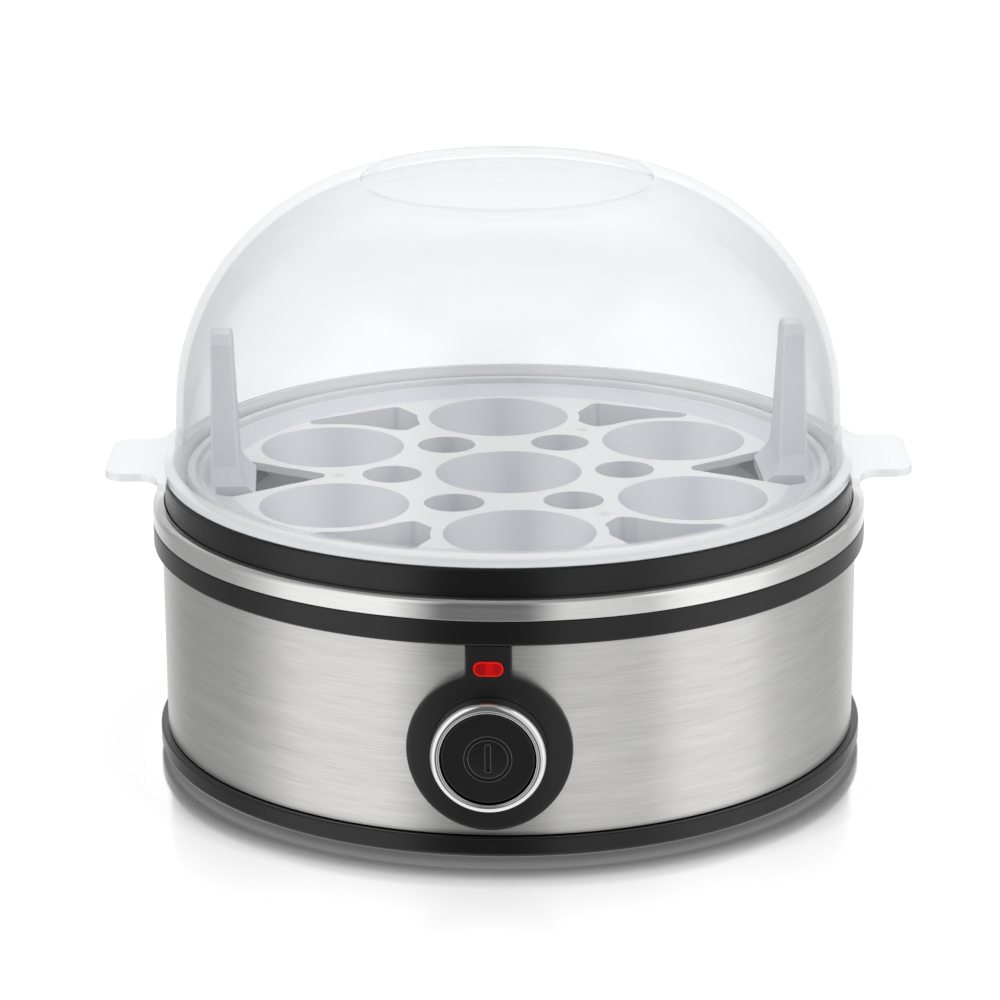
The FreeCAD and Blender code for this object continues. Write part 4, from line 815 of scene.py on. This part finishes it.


def studio_floor():
    """A wide white table top with a painted contact shadow: it mirrors the dark base strongly where it stands
    and less further out.
    """
    g = material("studio_floor")
    coords, (x, y, _) = g.place()
    cloud = g.noise(coords, 6.0, 2.0)
    away = g.math("SQRT", g.math("ADD", g.math("MULTIPLY", x, x), g.math("MULTIPLY", y, y)))
    away = g.math("DIVIDE", g.math("SUBTRACT", away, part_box("bottom_cover")[1][0]), CONTACT_SHADOW_WIDTH)
    # Painted shadow: the mirror weight rises from the table's own faint reflection far out to a strong one
    # next to the base, where the reflected dark base stands in for its contact shadow.
    shadow_mirror = g.ramp(away, [(0.0, 0.88), (0.08, 0.84), (0.15, 0.66), (0.22, 0.36), (0.32, 0.17), (1.0, 0.10)])
    matt = g.principled(Base_Color=(0.97, 0.97, 0.97), Roughness=0.6, Specular_IOR_Level=0.2,
                        Emission_Color=(1.0, 1.0, 1.0), Emission_Strength=0.03)
    g.surface(g.blend(shadow_mirror, matt, g.glossy((1.0, 1.0, 1.0), g.spread(cloud, 0.10, 0.14))))
    mesh = bpy.data.meshes.new("studio_floor")
    half = 4.0
    corners = [(-half, -half, 0), (half, -half, 0), (half, half, 0), (-half, half, 0)]
    mesh.from_pydata(corners, [], [(0, 1, 2, 3)])
    mesh.materials.append(materials["studio_floor"])
    floor = bpy.data.objects.new("studio_floor", mesh)
    bpy.context.scene.collection.objects.link(floor)
    floor.visible_glossy = False


# How bright the studio is round the object: degrees to the right of the button's direction, brightness.
STUDIO_RING = (
    (-180, 1.06), (-166, 1.02), (-155, 0.80), (-134, 0.42), (-96, 0.42), (-84, 0.62), (-70, 1.05),
    (-35, 1.12), (-26, 0.60), (-19, 0.14), (9, 0.14), (14, 0.42), (20, 0.80), (40, 0.75), (48, 0.68),
    (57, 1.02), (64, 1.14), (88, 1.10), (99, 0.72), (120, 0.58), (142, 0.52), (156, 0.80), (166, 1.02),
    (180, 1.06))
OVERHEAD = 1.55                 # how bright the ceiling is as a light
CEILING_SEEN = 0.32             # how bright the ceiling is in reflections
UNDERFOOT = 1.0                 # light thrown up by the white table top, seen only in reflections


def studio_light():
    """A light tent: soft side boxes, a dark gap where the camera stands and a bright ceiling."""
    world = bpy.data.worlds.new("studio")
    bpy.context.scene.world = world
    g = Graph(world)
    coords = g.node("TexCoord")
    split = g.node("SeparateXYZ")
    g.put(split.inputs[0], coords.outputs["Generated"])
    x, y, z = split.outputs
    angle = g.math("ARCTAN2", x, g.math("MULTIPLY", y, -1.0))
    share = g.math("ADD", g.math("DIVIDE", angle, TURN), 0.5)
    ring = g.ramp(share, [(0.5 + degrees / 360, level / 2) for degrees, level in STUDIO_RING])
    # Surfaces are lit by a bright ceiling. Mirror images show the side boxes up to a dark ceiling.
    ceiling = g.ramp(z, [(0.0, 0.0), (0.38, 0.0), (0.62, 1.0), (1.0, 1.0)])
    lit = g.mix_colour(ceiling, ring, (OVERHEAD / 2,) * 3)
    hood = g.ramp(z, [(0.0, 0.0), (0.80, 0.0), (0.88, 1.0), (1.0, 1.0)])
    table = g.ramp(g.math("MULTIPLY", z, -1.0), [(0.0, 0.0), (0.45, 0.0), (0.60, 1.0), (1.0, 1.0)])
    seen = g.mix_colour(hood, ring, (CEILING_SEEN / 2,) * 3)
    seen = g.mix_colour(table, seen, (UNDERFOOT / 2,) * 3)
    colour = g.mix_colour(g.node("LightPath").outputs["Is Glossy Ray"], lit, seen)
    background = g.node("Background")
    g.put(background.inputs["Color"], colour)
    g.put(background.inputs["Strength"], 2.0)
    g.put(g.node("OutputWorld").inputs["Surface"], background.outputs[0])


# The camera: its stand, measured from the object's axis in metres, its tilt and its lens.
CAMERA_HEADING = math.radians(3.3)
CAMERA_AWAY = 0.880
CAMERA_ASIDE = -0.00214
CAMERA_UP = 0.33205
CAMERA_PITCH = math.radians(17.12)
CAMERA_ROLL = math.radians(-0.355)
CAMERA_LENS = 133.45            # mm, on a sensor 36 mm wide


def studio_camera():
    """A long lens in front of the object, a little above the lid, looking down at it."""
    data = bpy.data.cameras.new("camera")
    data.sensor_width = 36.0
    data.lens = CAMERA_LENS
    camera = bpy.data.objects.new("camera", data)
    turn = Matrix.Rotation(CAMERA_HEADING, 4, "Z")
    stand = Matrix.Translation(turn @ Vector((CAMERA_ASIDE, -CAMERA_AWAY, CAMERA_UP)))
    tilt = Matrix.Rotation(math.pi / 2 - CAMERA_PITCH, 4, "X")
    camera.matrix_world = stand @ turn @ tilt @ Matrix.Rotation(CAMERA_ROLL, 4, "Z")
    bpy.context.scene.collection.objects.link(camera)
    bpy.context.scene.camera = camera
    bpy.context.scene.view_settings.view_transform = "Standard"


make_materials()
dress_nodes()
make_shapes()
studio_floor()
studio_light()
studio_camera()
